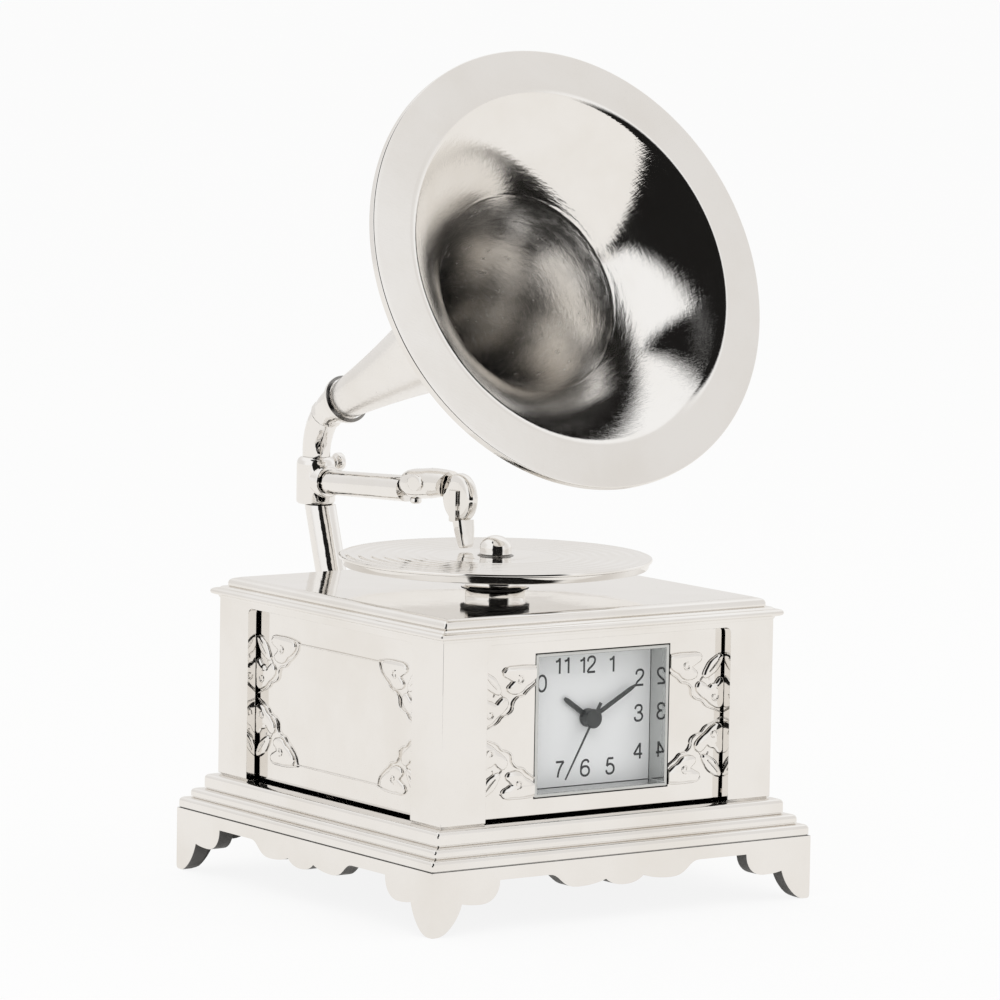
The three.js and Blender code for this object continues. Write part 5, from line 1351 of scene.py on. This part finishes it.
def numeral(text, height, line, advance=0.68, broad=1.28):
    """A printed number drawn with one line width, centred on the origin in the XZ plane."""
    width = advance * (len(text) - 1) + 0.54 * broad
    strokes = []
    for index, digit in enumerate(text):
        start = advance * index - width / 2
        for points in STROKES[digit]:
            closed = points[0] == points[-1]
            path = [((x * broad + start) * height, 0, (z - 0.5) * height) for x, z in points[closed:]]
            strokes.append(curve(path, [1.0] * len(path), line / 2, closed=closed, smooth=5))
    return move(joined(*strokes), scale=(1, 0.08, 1))


def clock_hand(node, body, angle, outline, hub, bore=0):
    """One hand from its outline, with a hub bored for its arbor or, without a bore, a domed cap."""
    front, back = low(node).y, high(node).y
    deep = back - front
    blade = soften(slab(outline, front if bore else back - 0.1, back), 0.03)
    move(blade, turn=(0, angle, 0))
    if bore:
        profile = [(hub * 0.9, -0.27), (hub, -0.25), (hub, 0.1), (hub * 0.9, 0.14), (hub * 0.5, 0.15)]
    else:
        profile = [(hub * 0.95, -0.25), (hub, -0.23), (hub, deep - 0.08), (hub * 0.94, deep - 0.02)]
        profile.append((hub * 0.6, deep))
    disc = turned(profile, 48, (0, back, 0), (90, 0, 0))
    if bore:
        for part in (blade, disc):
            carve(part, turned([(bore, -2), (bore, 2)], 48, (0, back, 0), (90, 0, 0)))
    hand = move(joined(blade, disc), (0, 0, DIAL_Z))
    finish(hand, "dark_" + node, node, body=body, look="hand_grey", slot="hand_grey", smooth=35)


class CLOCK_OT_dial(bpy.types.Operator):
    """Model the bezel, print the plain numbers and set the three hands."""

    bl_idname = "clock.dial"
    bl_label = "Clock dial"

    def execute(self, context):
        settings = context.scene.clock_dial
        front, back = low("bezel").y, high("bezel").y
        half_x, half_z, wall = high("bezel").x, high("bezel").z - DIAL_Z, 0.4
        outer = block((-half_x, front, DIAL_Z - half_z), (half_x, back, DIAL_Z + half_z))
        half_x -= wall
        half_z -= wall
        inner = block((-half_x, front - 1, DIAL_Z - half_z), (half_x, back + 1, DIAL_Z + half_z))
        bezel = soften(carve(outer, inner), 0.14, 4)
        finish(bezel, "bright_bezel", "bezel", body="clock_insert", look="inner_wall")

        letters = []
        for text, x, z in NUMERALS:
            printed = numeral(text, settings.numeral_height * 1000, settings.numeral_line * 1000)
            letters.append(move(printed, (x, low("dial").y, DIAL_Z + z)))
        finish(
            joined(*letters), "printed_numbers",
            body="clock_insert", look="numeral_ink", slot="hand_grey", smooth=32)

        clock_hand("minute_hand", "minute_arbor", 61, [
            (-0.27, 0.0), (0.27, 0.0), (0.24, 5.9), (0.13, 6.7), (-0.13, 6.7), (-0.24, 5.9)], 0.98, 0.615)
        clock_hand("hour_hand", "hour_arbor", 305.3, [
            (-0.3, 0.0), (0.3, 0.0), (0.27, 3.6), (0.16, 4.05), (-0.16, 4.05), (-0.27, 3.6)], 1.02, 0.885)
        clock_hand("second_hand", "second_arbor", 209.5, [
            (-0.09, 7.4), (-0.13, 1.0), (-0.21, -0.6), (-0.21, -1.95), (0.21, -1.95), (0.21, -0.6),
            (0.13, 1.0), (0.09, 7.4)], 1.06)
        return {"FINISHED"}


class CLOCK_OT_movement(bpy.types.Operator):
    """Model the setting knob, and finish the movement and the other CAD pieces that keep their shape."""

    bl_idname = "clock.movement"
    bl_label = "Movement"

    def execute(self, context):
        node = "setting_knob"
        stem = low(node).y - high(node).y
        ribs = 48
        knob = raised("round", [
            (0.35, stem), (0.35, -1), (1.25, -1), (1.4, -0.85), (1.4, -0.15), (1.28, 0), (0.7, 0),
            (0.6, -0.12), (0.2, -0.12)], ribs)

        def groove(spot, _):
            place = math.atan2(spot.y, spot.x) / (2 * math.pi) * ribs
            return math.hypot(spot.x, spot.y) > 1.35 and -0.8 < spot.z < -0.2 and round(place - 0.5) % 2 == 0
        edit_faces(knob, groove)
        bpy.ops.mesh.inset(thickness=0.02, use_individual=True)
        bpy.ops.mesh.extrude_region_shrink_fatten(TRANSFORM_OT_shrink_fatten={"value": -0.07})
        move(knob, (middle(node).x, high(node).y, middle(node).z), (-90, 0, 0))
        finish(
            knob, "ribbed_knob", node,
            body="setting_arbor", look="white_plastic", slot="white_plastic", smooth=32)

        slots = {part["node"]: part["material_slot"] for part in frame["record"]["subparts"]}
        for name, piece in frame["nodes"].items():
            piece.data.materials.clear()
            piece.data.materials.append(finishes(slots[name]))
        return {"FINISHED"}


class CLOCK_PT_panel(bpy.types.Panel):
    """Lists the settings and the steps of the gramophone clock."""

    bl_idname = "CLOCK_PT_panel"
    bl_label = "Gramophone clock"
    bl_space_type = "VIEW_3D"
    bl_region_type = "UI"
    bl_category = "Gramophone clock"

    def draw(self, context):
        for group, _ in SETTINGS:
            settings = getattr(context.scene, group)
            for key in settings.bl_rna.properties.keys():
                if key not in ("name", "rna_type"):
                    self.layout.prop(settings, key)
        for step in STEPS:
            self.layout.operator(step.bl_idname)


SETTINGS = (
    ("clock_case", ClockCaseSettings),
    ("clock_horn", ClockHornSettings),
    ("clock_turntable", ClockTurntableSettings),
    ("clock_dial", ClockDialSettings),
    ("clock_finish", ClockFinishSettings),
    ("clock_stage", ClockStageSettings),
)
STEPS = (
    CLOCK_OT_stage, CLOCK_OT_base, CLOCK_OT_case, CLOCK_OT_panels, CLOCK_OT_top, CLOCK_OT_turntable,
    CLOCK_OT_bracket, CLOCK_OT_tee, CLOCK_OT_horn, CLOCK_OT_arm, CLOCK_OT_dial, CLOCK_OT_movement,
)


def register():
    """Registers the settings, the steps and the panel."""
    for group, settings in SETTINGS:
        bpy.utils.register_class(settings)
        setattr(bpy.types.Scene, group, PointerProperty(type=settings))
    for step in (*STEPS, CLOCK_PT_panel):
        bpy.utils.register_class(step)


def unregister():
    """Takes away the panel, the steps and the settings."""
    for step in (CLOCK_PT_panel, *reversed(STEPS)):
        bpy.utils.unregister_class(step)
    for group, settings in reversed(SETTINGS):
        delattr(bpy.types.Scene, group)
        bpy.utils.unregister_class(settings)


def main():
    """Builds the stage and every piece."""
    register()
    bpy.ops.clock.stage()
    bpy.ops.clock.base()
    bpy.ops.clock.case()
    bpy.ops.clock.panels()
    bpy.ops.clock.top()
    bpy.ops.clock.turntable()
    bpy.ops.clock.bracket()
    bpy.ops.clock.tee()
    bpy.ops.clock.horn()
    bpy.ops.clock.arm()
    bpy.ops.clock.dial()
    bpy.ops.clock.movement()
    deselect()


if __name__ == "__main__":
    main()
